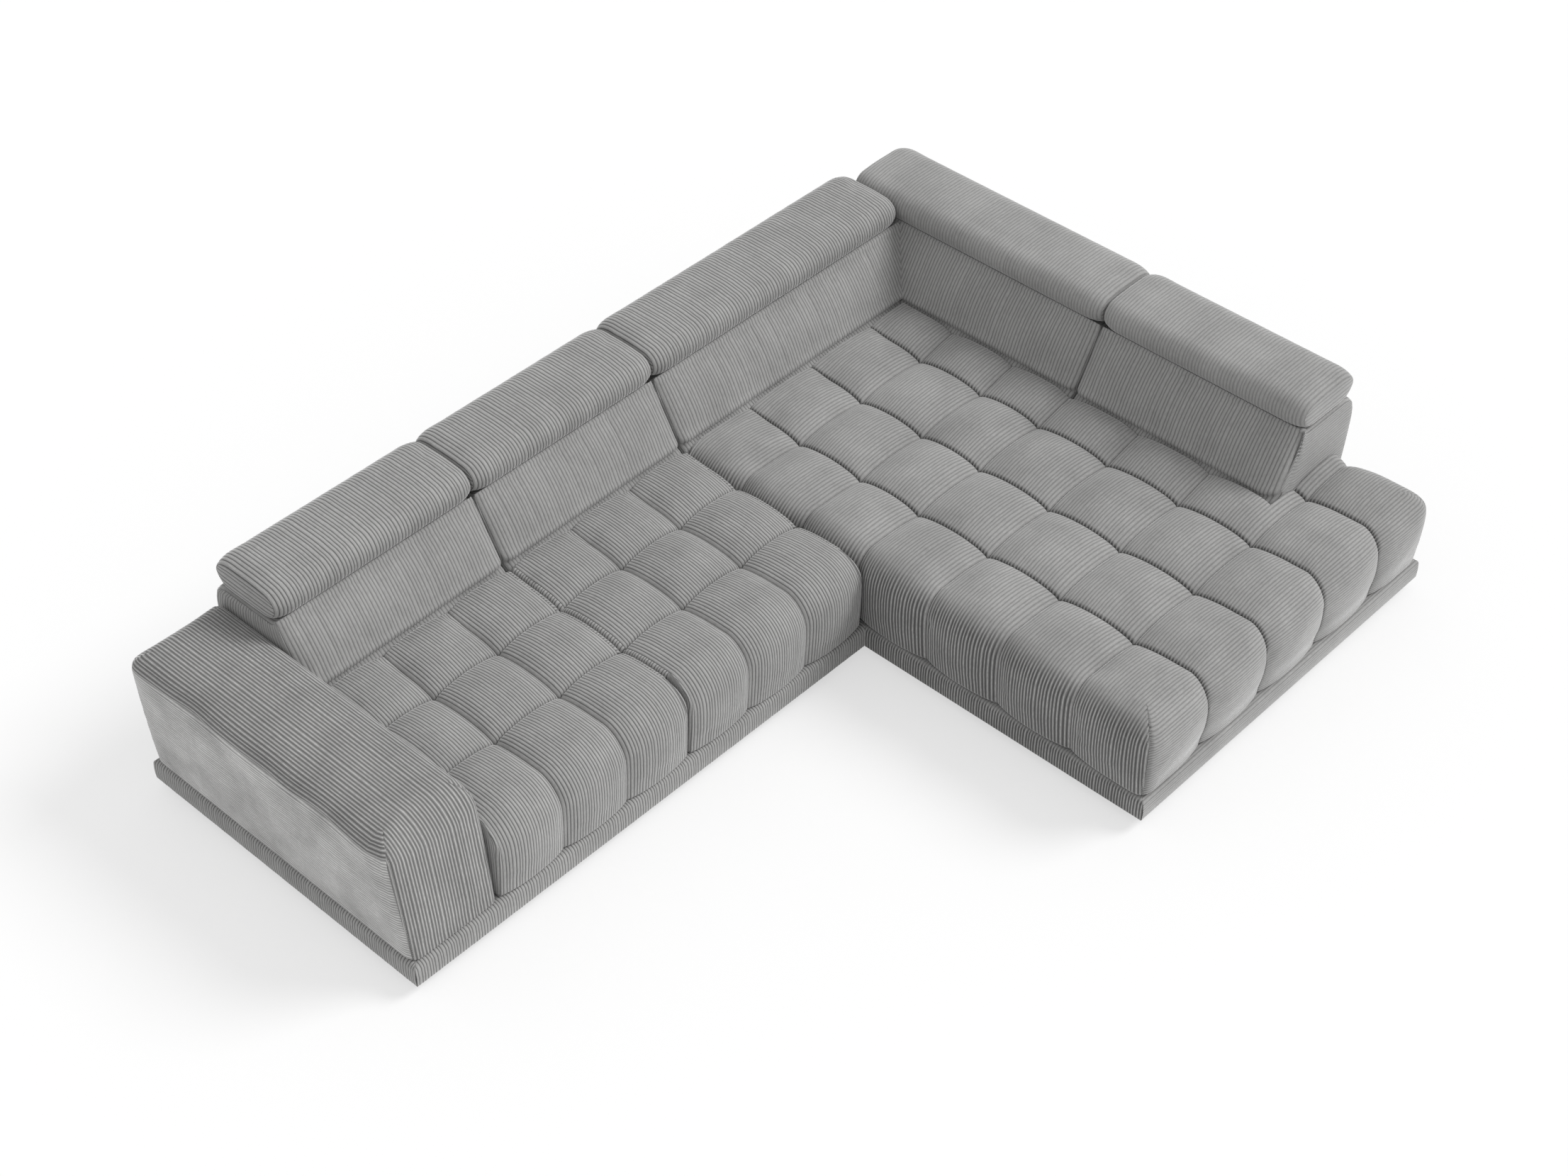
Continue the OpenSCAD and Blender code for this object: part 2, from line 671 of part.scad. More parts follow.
module back_frame(i) {
    span = frame_span(i);
    v = slab_v;
    color(timber) at_back(i) difference() {
        union() {
            for (z = [plinth_z, (plinth_z + frame_top - board_t) / 2, frame_top - board_t])
                block([span[0], v[0], z], [span[1], v[1], z + board_t]);
            for (u = [span[0], span[1] - board_t])
                block([u, v[0], plinth_z], [u + board_t, v[1], frame_top]);
            for (u = hinge_u(i))
                block([u - board_t, v[0], plinth_z], [u, v[1], frame_top]);
        }
        for (u = hinge_u(i)) {
            block([u, v[0] - 1, frame_top - board_t - plate_l - 20],
                [u + leaf_t + pocket_play, v[1] + 1, frame_top + 1]);
            translate([u + bolt_step, leaf_foot_v, plinth_z - 1]) cylinder(h = board_t + 2, d = bolt_d + 1);
            screw_holes(u);
        }
    }
}

// Headrests

rest_outline = concat(
    [for (a = [-90 : -15 : -270]) [pivot_v + rest_r * cos(a), pivot_z + rest_r * sin(a)]],
    [[pivot_v + 70, pivot_z + rest_r + rest_rise], [lean + rest_d - 70, pivot_z + rest_r + rest_rise],
    [lean + rest_d - 32, pivot_z + rest_r - 8], [lean + rest_d - 8, pivot_z + rest_r - 32],
    [lean + rest_d, pivot_z], [lean + rest_d - 8, pivot_z - rest_r + 32],
    [lean + rest_d - 30, pivot_z - rest_r + 8], [lean + rest_d - 60, pivot_z - rest_r]]);

// How an end of a headrest is drawn in: distances from the end, and shares there
rest_ends = [0, 8, 24, 50];
rest_draws = [0.22, 0.1, 0.03, 0];

module rest_body(i) {
    l = rest_l[i];
    from = rest_from[i];
    mid_v = lean + rest_d / 2;
    stops = concat([for (e = rest_ends) from + e], [(from + l) / 2],
        [for (k = [3 : -1 : 0]) l - rest_ends[k]]);
    draws = concat(rest_draws, [0], [for (k = [3 : -1 : 0]) rest_draws[k]]);
    loft([for (k = [0 : len(stops) - 1])
        [for (p = rest_outline)
            [stops[k], mid_v + (p[0] - mid_v) * (1 - 0.35 * draws[k]),
                pivot_z + (p[1] - pivot_z) * (1 - draws[k])]]]);
}

// The room that the fixed leaf needs inside the headrest over the whole tilt
module leaf_sweep(u) {
    half = leaf_w / 2 + 2;
    translate([u - pocket_play, pivot_v, pivot_z]) rotate([90, 0, 90])
        linear_extrude(2 * leaf_t + leaf_play + pin_head + 2 * pocket_play) {
            circle(d = barrel_d + 4, $fn = 32);
            for (k = [0 : 5]) rotate(neck_angle - rest_tilt * k / 5)
                translate([0, -half]) square([2 * rest_r, 2 * half]);
        }
}

module headrest_cushion(i) {
    color(fabric) at_back(i) difference() {
        rest_body(i);
        block([board_span(i)[0] - ease, board_v[0] - ease, board_z - ease],
            [board_span(i)[1] + ease, board_v[1] + ease, board_z + rest_board_t + ease]);
        for (u = hinge_u(i)) {
            leaf_sweep(u);
            translate([0, pivot_v, board_z + rest_board_t])
                block([u + leaf_t, 0, -ease], [u + leaf_t + leaf_play + flange_w + 1,
                    board_v[1] - pivot_v + ease, arm_bar + 2]);
        }
    }
}

function board_span(i) = [rest_from[i] + 60, rest_l[i] - 60];

module headrest_board(i) {
    color(timber) at_back(i) difference() {
        block([board_span(i)[0], board_v[0], board_z],
            [board_span(i)[1], board_v[1], board_z + rest_board_t]);
        for (u = hinge_u(i)) leaf_sweep(u);
    }
}

// Ratchet hinges: a fixed leaf with a barrel, a moving leaf beside it and a pin

module leaf_disc(u, from, d) {
    translate([u, pivot_v, pivot_z]) rotate([0, 90, 0]) translate([0, 0, from])
        cylinder(h = leaf_t, d = d);
}

module pin_hole(u) {
    translate([u - 20, pivot_v, pivot_z]) rotate([0, 90, 0])
        cylinder(h = 60, d = pin_d + 2 * pin_play);
}

screw_z = [leaf_foot_z - plate_l + 3 * screw_d, leaf_foot_z - plate_l + 12 * screw_d];

module screw_holes(u) {
    for (z = screw_z) translate([u - board_t + 3, leaf_foot_v, z]) rotate([0, 90, 0])
        cylinder(h = board_t + leaf_t, d = screw_d + 0.2);
}

module hinge_base(i) {
    color(steel) at_back(i) for (u = hinge_u(i)) difference() {
        union() {
            leaf_disc(u, 0, barrel_d);
            translate([u, pivot_v, pivot_z]) rotate([90, 0, 90]) linear_extrude(leaf_t)
                rotate(neck_angle) translate([0, -leaf_w / 2]) square([neck_l, leaf_w]);
            block([u, leaf_foot_v - plate_w / 2, leaf_foot_z - plate_l],
                [u + leaf_t, leaf_foot_v + plate_w / 2, leaf_foot_z]);
        }
        pin_hole(u);
        screw_holes(u);
    }
}

module hinge_arm(i) {
    board_top = board_z + rest_board_t;
    color(steel) at_back(i) for (u = hinge_u(i)) {
        start = u + leaf_t + leaf_play;
        difference() {
            union() {
                leaf_disc(u, leaf_t + leaf_play, barrel_d);
                block([start, pivot_v, board_top],
                    [start + leaf_t, board_v[1] - 10, board_top + arm_bar]);
                block([start, board_v[0] + 20, board_top],
                    [start + flange_w, board_v[1] - 10, board_top + leaf_t]);
            }
            pin_hole(u);
        }
    }
}

module hinge_pins() {
    grip = 2 * leaf_t + leaf_play + 0.4;
    color(steel) for (i = [0 : 4]) at_back(i) for (u = hinge_u(i))
        translate([u - 0.2, pivot_v, pivot_z]) rotate([0, 90, 0]) {
            cylinder(h = grip, d = pin_d);
            translate([0, 0, -pin_head + 1]) cylinder(h = pin_head - 1, d = pin_d + 8);
            translate([0, 0, grip]) cylinder(h = pin_head - 1, d = pin_d + 8);
        }
}

module hinge_screws() {
    color(steel) for (i = [0 : 4]) at_back(i) for (u = hinge_u(i), z = screw_z)
        translate([u - board_t + 4, leaf_foot_v, z]) rotate([0, 90, 0]) {
            cylinder(h = board_t - 4 + leaf_t, d = screw_d);
            translate([0, 0, board_t - 4 + leaf_t]) cylinder(h = 2, d = 2 * screw_d);
        }
}

// Bolts between the two modules, and between the backs and the bases

module_bolt_y = [plinth_t + bolt_in, (y_foot + plinth_t) / 2, y_foot - bolt_in];
module_bolt_z = foot_h + board_t;

module module_bolts() {
    grip = 2 * board_t + joint_play;
    color(steel) for (y = module_bolt_y)
        translate([x_joint - board_t - joint_play / 2, y, module_bolt_z]) rotate([0, 90, 0]) {
            cylinder(h = grip, d = bolt_d);
            translate([0, 0, -6]) cylinder(h = 6, d = 2 * bolt_d);
            translate([0, 0, grip]) cylinder(h = 6, d = 2 * bolt_d);
        }
}

module back_bolts() {
    grip = 2 * board_t;
    color(steel) for (i = [0 : 4]) at_back(i) for (u = hinge_u(i))
        translate([u + bolt_step, leaf_foot_v, plinth_z - board_t]) {
            cylinder(h = grip, d = bolt_d);
            translate([0, 0, -6]) cylinder(h = 6, d = 2 * bolt_d);
            translate([0, 0, grip]) cylinder(h = 6, d = 2 * bolt_d);
        }
}

place() main_frame();
place() corner_frame();
place() main_plinth_front();
place() main_plinth_side();
place() main_plinth_rear();
place() chaise_plinth_side();
place() chaise_plinth_end();
place() corner_plinth_side();
place() corner_plinth_rear();
place() feet();
place() dust_cover(main_in, main_feet);  // main_dust_cover
place() dust_cover(corner_in, corner_feet);  // corner_dust_cover
place() seat_box(seat_area[0]);  // seat_box_1
place() seat_box(seat_area[1]);  // seat_box_2
place() seat_box(corner_area);  // corner_box
place() webbing(seat_area[0]);  // seat_webbing_1
place() webbing(seat_area[1]);  // seat_webbing_2
place() webbing(corner_area);  // corner_webbing
place() seat_cushion(0);  // seat_cushion_1
place() seat_cushion(1);  // seat_cushion_2
place() corner_cushion();
place() arm_frame();
place() arm_cushion();
place() back_frame(0);  // back_frame_1
place() back_frame(1);  // back_frame_2
place() back_frame(2);  // back_frame_3
place() back_frame(3);  // back_frame_4
place() back_frame(4);  // back_frame_5
place() back_cushion(0);  // back_cushion_1
place() back_cushion(1);  // back_cushion_2
place() back_cushion(2);  // back_cushion_3
place() back_cushion(3);  // back_cushion_4
place() back_cushion(4);  // back_cushion_5
place() headrest_board(0);  // headrest_board_1
place() headrest_board(1);  // headrest_board_2
place() headrest_board(2);  // headrest_board_3
place() headrest_board(3);  // headrest_board_4
place() headrest_board(4);  // headrest_board_5
place() headrest_cushion(0);  // headrest_cushion_1
place() headrest_cushion(1);  // headrest_cushion_2
place() headrest_cushion(2);  // headrest_cushion_3
place() headrest_cushion(3);  // headrest_cushion_4
place() headrest_cushion(4);  // headrest_cushion_5
place() hinge_base(0);  // hinge_base_1
place() hinge_base(1);  // hinge_base_2
place() hinge_base(2);  // hinge_base_3
place() hinge_base(3);  // hinge_base_4
place() hinge_base(4);  // hinge_base_5
place() hinge_arm(0);  // hinge_arm_1
place() hinge_arm(1);  // hinge_arm_2
place() hinge_arm(2);  // hinge_arm_3
place() hinge_arm(3);  // hinge_arm_4
place() hinge_arm(4);  // hinge_arm_5
place() hinge_pins();
place() hinge_screws();
place() module_bolts();
place() back_bolts();
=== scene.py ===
import bpy, bmesh, math
import numpy as np
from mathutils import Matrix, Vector


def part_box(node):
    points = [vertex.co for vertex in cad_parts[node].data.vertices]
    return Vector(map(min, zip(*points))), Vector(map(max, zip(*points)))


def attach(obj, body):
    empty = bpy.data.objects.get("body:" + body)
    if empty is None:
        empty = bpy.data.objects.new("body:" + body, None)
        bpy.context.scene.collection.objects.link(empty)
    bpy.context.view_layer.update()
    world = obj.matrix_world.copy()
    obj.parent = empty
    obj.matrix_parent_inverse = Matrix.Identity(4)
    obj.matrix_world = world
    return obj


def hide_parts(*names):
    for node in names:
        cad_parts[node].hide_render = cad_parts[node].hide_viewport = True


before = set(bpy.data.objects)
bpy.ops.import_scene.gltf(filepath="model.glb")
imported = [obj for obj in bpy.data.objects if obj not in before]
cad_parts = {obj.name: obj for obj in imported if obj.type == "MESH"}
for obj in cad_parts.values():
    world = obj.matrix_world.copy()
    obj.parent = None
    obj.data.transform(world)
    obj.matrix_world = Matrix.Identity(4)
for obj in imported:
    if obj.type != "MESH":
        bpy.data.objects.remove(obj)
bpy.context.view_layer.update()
print("frame loaded:", len(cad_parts), "nodes")

# The plan is in millimetres, with the plinth's front left corner, under the arm, at 0, 0
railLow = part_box("main_plinth_front")[0]
planZero = np.array([-railLow.x, -railLow.y, 0.0]) * 1000

plan = {
    "plinthTop": 114, "footTop": 28, "plinthDepth": 64, "plinthRound": 16,
    "seatTop": 411, "backFoot": 761, "sideFoot": 2933, "leanFrom": 346, "backTop": 598,
    "lean": 150, "rearLine": 1189, "armRight": 336, "sideEnd": -757,
    "rows": (292.0, 557, 822), "tilesEnd": 775.0,  # the seats' seams, and where their tops end under the backs
}


def hermite(t):
    # weights of a curve's start and end and of its slopes there
    return 2 * t**3 - 3 * t**2 + 1, -2 * t**3 + 3 * t**2, t**3 - 2 * t**2 + t, t**3 - t**2


def splineMatrix(coarse, fine):
    # rows give the smooth value at each fine station from the coarse ones
    coarse = np.asarray(coarse, float)
    n = len(coarse)
    out = np.zeros((len(fine), n))
    slope = np.zeros((n, n))
    for i in range(n):
        lo, hi = max(i - 1, 0), min(i + 1, n - 1)
        slope[i, hi] += 1 / (coarse[hi] - coarse[lo])
        slope[i, lo] -= 1 / (coarse[hi] - coarse[lo])
    for r, x in enumerate(fine):
        i = int(np.clip(np.searchsorted(coarse, x, side="right") - 1, 0, n - 2))
        w = coarse[i + 1] - coarse[i]
        start, end, leaving, arriving = hermite(min(max((x - coarse[i]) / w, 0), 1))
        out[r, i] += start
        out[r, i + 1] += end
        out[r] += leaving * w * slope[i] + arriving * w * slope[i + 1]
    return out


def smoothStep(x):
    x = np.clip(x, 0, 1)
    return x * x * (3 - 2 * x)


def gridNormals(p):
    du = np.gradient(p, axis=0)
    dv = np.gradient(p, axis=1)
    n = np.cross(du, dv)
    size = np.linalg.norm(n, axis=2, keepdims=True)
    n = n / np.maximum(size, 1e-9)
    for axis in (0, 1):  # a pole takes its neighbour's normal
        for edge, nextOne in ((0, 1), (-1, -2)):
            a = n[edge] if axis == 0 else n[:, edge]
            b = n[nextOne] if axis == 0 else n[:, nextOne]
            weak = (size[edge] if axis == 0 else size[:, edge])[:, 0] < 1e-4
            a[weak] = b[weak]
    return n


def softNoise(x, y, z, seed, scale):
    # a few fixed waves, the same in every run
    rng = np.random.default_rng(seed)
    total = np.zeros(np.broadcast(x, y, z).shape)
    for k in range(7):
        d = rng.normal(size=3)
        d = d / np.linalg.norm(d) * rng.uniform(0.6, 1.7) * 2 * math.pi / scale
        total = total + np.sin(x * d[0] + y * d[1] + z * d[2] + rng.uniform(0, 6.28))
    return total / 2.6


cord = {
    "ribSteps": ((0, 0), (0.16, 0.80), (0.5, 1), (0.84, 0.80)),  # shares of a rib's width and of its height
    "uneven": 0.16,        # how much the ribs differ in width and height
    "alongStep": 22,       # spacing of points along a rib, mm
    "acrossStep": 13,      # and where it rolls over an edge
    "wander": 0.14,        # slow changes of a rib's height along it
    "mend": 0.02,          # points closer than this are one, mm
    "pressed": 0.45,       # what is left of a rib's height in a sewn crease
}


def ribStations(segments):
    # segments of (from, to, pitch) give rib numbers, places and heights
    number, place, height = [], [], []
    count = 0
    for lo, hi, pitch in segments:
        ribs = max(1, round(abs(hi - lo) / pitch))
        rng = np.random.default_rng(ribs + count)
        edge = np.arange(ribs + 1) + cord["uneven"] * rng.uniform(-1, 1, ribs + 1)
        edge[0], edge[-1] = 0, ribs
        tall = 1 + cord["uneven"] * rng.uniform(-1, 0.6, ribs)
        for k in range(ribs):
            for share, h in cord["ribSteps"]:
                number.append(count + k + share)
                place.append(lo + (hi - lo) * (edge[k] + share * (edge[k + 1] - edge[k])) / ribs)
                height.append(h * tall[k])
        count += ribs
    number.append(count)
    place.append(segments[-1][1])
    height.append(0)
    return np.array(number, float), np.array(place, float), np.array(height, float)


def alongStations(lo, hi, creases=(), close=(2, 6, 13)):
    # even stations with closer ones at each crease
    step = cord["alongStep"]
    marks = {round(lo, 3), round(hi, 3)}
    near = []
    for c in creases:
        for d in (0,) + tuple(close) + tuple(-v for v in close):
            if lo < c + d < hi:
                marks.add(round(c + d, 3))
                near.append(c + d)
    n = max(2, round((hi - lo) / step))
    for k in range(1, n):
        v = lo + (hi - lo) * k / n
        if all(abs(v - m) > step * 0.45 for m in near):
            marks.add(round(v, 3))
    return np.array(sorted(marks))


def running(steps):
    # running total that starts at 0
    return np.concatenate([[0], np.cumsum(steps)])


def chainRun(p):
    # distance along a chain of points
    return running(np.linalg.norm(np.diff(p, axis=0), axis=1))


def spans(p):
    # mean distance along a grid's two directions
    return (running(np.linalg.norm(np.diff(p, axis=0), axis=2).mean(1)),
            running(np.linalg.norm(np.diff(p, axis=1), axis=2).mean(0)))


def pickStations(span, lines, step):
    # a few stations about a step apart, with the seam lines among them
    marks = sorted({0, len(span) - 1, *lines})
    out = [len(span) - 1]
    for lo, hi in zip(marks[:-1], marks[1:]):
        n = max(1, round((span[hi] - span[lo]) / step))
        for k in range(n):
            want = span[lo] + (span[hi] - span[lo]) * k / n
            out.append(int(np.argmin(np.abs(span[lo:hi + 1] - want))) + lo)
    return np.array(sorted(set(out)))


def outSign(normals, base, centre):
    return 1 if np.einsum("ijk,ijk->ij", normals, base - np.array(centre)).sum() > 0 else -1


def noRepeats(chain):
    chain = np.asarray(chain)
    return chain[np.concatenate([[True], chain[1:] != chain[:-1]])]


def linked(name, data):
    # a new object in the scene
    item = bpy.data.objects.new(name, data)
    bpy.context.scene.collection.objects.link(item)
    return item


class Skin:
    # collects ribbed panels of one piece and turns them into one mesh
    # a rough skin has wide plain panels for the cloth simulation, and the real one takes its moves
    def __init__(self, name, looks, rough=False, moves=None):
        self.name, self.rough, self.moves, self.looks = name, rough, moves, looks
        self.points, self.ribs, self.tris, self.finish, self.joins = [], [], [], [], []
        self.total = 0
        self.grids, self.seams = [], []

    def addPoints(self, p, uv):
        start = self.total
        self.points.append(p.reshape(-1, 3))
        self.ribs.append(uv.reshape(-1, 2))
        self.total += p.size // 3
        return start

    def addTriangles(self, t, finish=0, join=True):
        self.tris.append(t)
        self.finish.append(np.broadcast_to(finish, len(t)))
        self.joins.append(join)

    def addGrid(self, pts, uv, sign, finish):
        start = self.addPoints(pts, uv)
        idx = np.arange(pts.shape[0] * pts.shape[1]).reshape(pts.shape[:2]) + start
        a, b, c, d = idx[:-1, :-1], idx[1:, :-1], idx[1:, 1:], idx[:-1, 1:]
        order = ((a, b, c), (a, c, d)) if sign > 0 else ((a, c, b), (a, d, c))
        faces = np.tile(np.repeat(np.broadcast_to(finish, len(idx))[:-1], idx.shape[1] - 1), 2)
        self.addTriangles(np.concatenate([np.stack(q, -1).reshape(-1, 3) for q in order]), faces, join=False)
        return idx

    def panel(self, f, across, along, centre, fade=1.0, lines=((), ()), held=False, finish=0, closed=False,
              picked=None):
        # across = (rib numbers, places, heights); along = places, or (places, millimetres)
        # held = what the simulation may not move: True for all of it, or a weight for each point
        number, place, rise = across
        along, length = along if isinstance(along, tuple) else (along, along)
        u, v = np.meshgrid(place, along, indexing="ij")
        base = f(u, v)
        spanU, spanV = spans(base)
        if self.rough:
            return self.roughPanel(base, spanU, spanV, centre, lines, held, picked)
        if self.moves is not None:
            rows, cols, shift = self.moves[len(self.grids)]
            base = base + np.einsum("ri,ijk,cj->rck", splineMatrix(spanU[rows], spanU), shift,
                                    splineMatrix(spanV[cols], spanV))
        n = gridNormals(base)
        if closed:  # the last place along the ribs is the first again
            both = n[:, 0] + n[:, -1]
            n[:, 0] = n[:, -1] = both / np.maximum(np.linalg.norm(both, axis=1, keepdims=True), 1e-9)
        sign = outSign(n, base, centre)
        if isinstance(finish, tuple):  # a second finish from a share of the way across
            finish = np.where(place < finish[2], finish[0], finish[1])
        heights = np.array([corduroys[look]["ribHeight"] for look in self.looks])
        h = (heights[finish] * rise)[:, None] * fade
        wander = 1 + cord["wander"] * softNoise(u * 3.1, v * 0.35, 0 * u, 5, 160)
        pts = base + n * (sign * h * wander)[:, :, None]
        number = number if number.ndim == 2 else number[:, None]
        uv = np.stack(np.broadcast_arrays(number, np.asarray(length)[None, :] / 1000), -1)
        ids = self.addGrid(pts, uv, sign, finish)
        self.grids.append(ids)
        return ids

    def roughPanel(self, base, spanU, spanV, centre, lines, held, picked):
        rows = pickStations(spanU, lines[0], simulation["mesh"])
        cols = pickStations(spanV, lines[1], simulation["mesh"]) if picked is None else picked
        pts = base[np.ix_(rows, cols)]
        ids = self.addGrid(pts, np.zeros(pts.shape[:2] + (2,)), outSign(gridNormals(base), base, centre), 0)
        hold = np.zeros(ids.shape)
        if isinstance(held, np.ndarray):
            hold, held = held[np.ix_(rows, cols)].copy(), False
        else:
            hold[[0, -1]] = hold[:, [0, -1]] = 1
        hold[[k for k, r in enumerate(rows) if r in lines[0]]] = 1
        hold[:, [k for k, r in enumerate(cols) if r in lines[1]]] = 1
        self.grids.append((rows, cols, ids, np.ones(ids.shape) if held else hold))
        nearU = np.argmin(np.abs(np.arange(len(spanU))[:, None] - rows), axis=1)
        nearV = np.argmin(np.abs(np.arange(len(spanV))[:, None] - cols), axis=1)
        return ids[np.ix_(nearU, nearV)]

    def zip(self, a, b, centre=None):
        # joins two chains of points that lie side by side
        pts = np.concatenate(self.points)
        a, b = noRepeats(a), noRepeats(b)

        def lengths(chain):
            total = chainRun(pts[chain])
            return total / max(total[-1], 1e-9)
        ka, kb = lengths(a), lengths(b)
        i = j = 0
        out = []
        while i < len(a) - 1 or j < len(b) - 1:
            if j == len(b) - 1 or (i < len(a) - 1 and ka[i + 1] <= kb[j + 1]):
                out.append((a[i], a[i + 1], b[j]))
                i += 1
            else:
                out.append((a[i], b[j + 1], b[j]))
                j += 1
        t = np.array(out).reshape(-1, 3)
        self.addTriangles(t if centre is None else self.outward(t, centre))

    def outward(self, t, centre):
        # turns triangles to face away from a point inside
        p = np.concatenate(self.points)[t]
        n = np.cross(p[:, 1] - p[:, 0], p[:, 2] - p[:, 0])
        return t[:, ::-1] if np.einsum("ij,ij->i", n, p.mean(1) - np.array(centre)).sum() < 0 else t

    def fan(self, loop, centre, tip=None):
        # closes a loop of points with a flat fan
        pts = np.concatenate(self.points)
        loop = noRepeats(loop)
        loop = loop[:-1] if loop[0] == loop[-1] else loop
        mid = pts[loop].mean(0) if tip is None else np.array(tip)
        start = self.addPoints(mid[None], np.zeros((1, 2)))
        self.addTriangles(self.outward(np.stack([loop, np.roll(loop, -1), np.full(len(loop), start)], -1), centre))

    def weld(self, limit=None):
        # merges points that lie together; gives places, triangles, corners, finishes and each point's vertex
        pts = np.concatenate(self.points)
        tris, finish = np.concatenate(self.tris), np.concatenate(self.finish)
        if limit is not None:
            pts = limit(pts)
        keys = np.round(pts / cord["mend"]).astype(np.int64)
        _, first, inverse = np.unique(keys, axis=0, return_index=True, return_inverse=True)
        inverse = inverse.reshape(-1)
        welded = inverse[tris]
        good = (welded != np.roll(welded, 1, axis=1)).all(1)
        far = len(first) + 1
        patch = np.concatenate([np.full(len(q), k) for k, q in enumerate(self.tris)])
        loose = np.array(self.joins)[patch]

        def edges(q, a=0, b=1):
            return np.concatenate([q[:, (k + a) % 3].astype(np.int64) * far + q[:, (k + b) % 3] for k in range(3)])
        known = np.unique(edges(welded[good & ~loose]))
        for k in np.nonzero(self.joins)[0]:  # a strip that joins panels faces the same way as they do
            mine = good & (patch == k)
            if np.isin(edges(welded[mine]), known).sum() > np.isin(edges(welded[mine], 1, 0), known).sum():
                welded[mine], tris[mine] = welded[mine][:, ::-1], tris[mine][:, ::-1]
        tris, welded, finish = tris[good], welded[good], finish[good]
        used, remap = np.unique(welded, return_inverse=True)
        vertexOf = np.full(len(first), -1)
        vertexOf[used] = np.arange(len(used))
        return pts[first[used]], remap.reshape(-1, 3), tris, finish, vertexOf[inverse]

    def build(self, limit=None):
        co, welded, tris, finish, _ = self.weld(limit)
        uv = np.concatenate(self.ribs)
        mesh = plainMesh(self.name, (co - planZero) / 1000, welded)
        layer = mesh.uv_layers.new(name="ribs")
        layer.data.foreach_set("uv", uv[tris.ravel()].astype(np.float32).ravel())
        for look in self.looks:
            mesh.materials.append(cloths[look])
        mesh.polygons.foreach_set("material_index", finish.astype(np.int32))
        closeHoles(mesh)
        mesh.polygons.foreach_set("use_smooth", np.ones(len(mesh.polygons), dtype=bool))
        return linked(self.name, mesh)


def plainMesh(name, co, tris):
    mesh = bpy.data.meshes.new(name)
    mesh.vertices.add(len(co))
    mesh.vertices.foreach_set("co", co.astype(np.float32).ravel())
    mesh.loops.add(tris.size)
    mesh.loops.foreach_set("vertex_index", tris.astype(np.int32).ravel())
    mesh.polygons.add(len(tris))
    mesh.polygons.foreach_set("loop_start", np.arange(0, tris.size, 3, dtype=np.int32))
    mesh.update(calc_edges=True)
    return mesh


def closeHoles(mesh):
    # fills most of the hair-thin slits left between panels whose points don't match
    work = bmesh.new()
    work.from_mesh(mesh)
    border = [e for e in work.edges if e.is_boundary]
    if border:
        filled = bmesh.ops.holes_fill(work, edges=border, sides=0)["faces"]
        bmesh.ops.triangulate(work, faces=[f for f in filled if len(f.verts) > 3])
    if any(e.is_manifold and not e.is_contiguous for e in work.edges):
        bmesh.ops.recalc_face_normals(work, faces=work.faces)
    work.to_mesh(mesh)
    work.free()


simulation = {
    "mesh": 26,           # spacing of the simulated cloth's points, mm
    "frames": 20, "pressure": 4.0, "mass": 0.02,
    "tension": 12.0, "shear": 5.0, "bending": 0.4, "air": 2.0, "quality": 6,
}


def simulated(rough, cap, hold):
    # fills the rough skin as cloth under pressure, held along its seams; gives each panel's moves in mm
    co, tris, _, _, vertexOf = rough.weld()
    mesh = plainMesh(rough.name + "Cloth", (co - planZero) / 1000, tris)
    body = linked(rough.name + "Cloth", mesh)
    weight = hold(co)
    seen = np.zeros(len(co), bool)
    for rows, cols, ids, held in rough.grids:
        v = vertexOf[ids]
        ok = v >= 0
        np.maximum.at(weight, v[ok], held[ok])
        seen[v[ok]] = True
    weight[~seen] = 1
    group = body.vertex_groups.new(name="held")
    steps = np.round(weight, 1)
    for level in np.unique(steps[steps > 0]):
        group.add(np.nonzero(steps == level)[0].tolist(), float(level), "REPLACE")
    sim = body.modifiers.new("cloth", "CLOTH")
    s = sim.settings
    s.quality, s.mass, s.air_damping = (simulation[key] for key in ("quality", "mass", "air"))
    s.tension_stiffness = s.compression_stiffness = simulation["tension"]
    s.shear_stiffness, s.bending_stiffness = simulation["shear"], simulation["bending"]
    s.use_pressure, s.uniform_pressure_force = True, simulation["pressure"]
    s.vertex_group_mass = "held"
    s.effector_weights.gravity = 0
    sim.collision_settings.use_collision = False
    sim.point_cache.frame_start, sim.point_cache.frame_end = 1, simulation["frames"]
    scene = bpy.context.scene
    for k in range(1, simulation["frames"] + 1):
        scene.frame_set(k)
    result = body.evaluated_get(bpy.context.evaluated_depsgraph_get())
    after = np.empty(len(co) * 3, np.float32)
    result.data.vertices.foreach_get("co", after)
    moved = after.reshape(-1, 3) * 1000 + planZero - co
    bpy.data.objects.remove(body)
    bpy.data.meshes.remove(mesh)
    scene.frame_set(1)
    size = np.linalg.norm(moved, axis=1, keepdims=True)
    print(f"  cloth {rough.name}: {len(co)} points, {size.mean():.1f} to {size.max():.1f} mm, capped at {cap}")
    moved = moved * np.minimum(1, cap / np.maximum(size, 1e-6)) * (1 - np.clip(weight, 0, 1))[:, None]
    moved = np.vstack([moved, np.zeros(3)])
    return [(rows, cols, moved[vertexOf[ids]]) for rows, cols, ids, held in rough.grids]


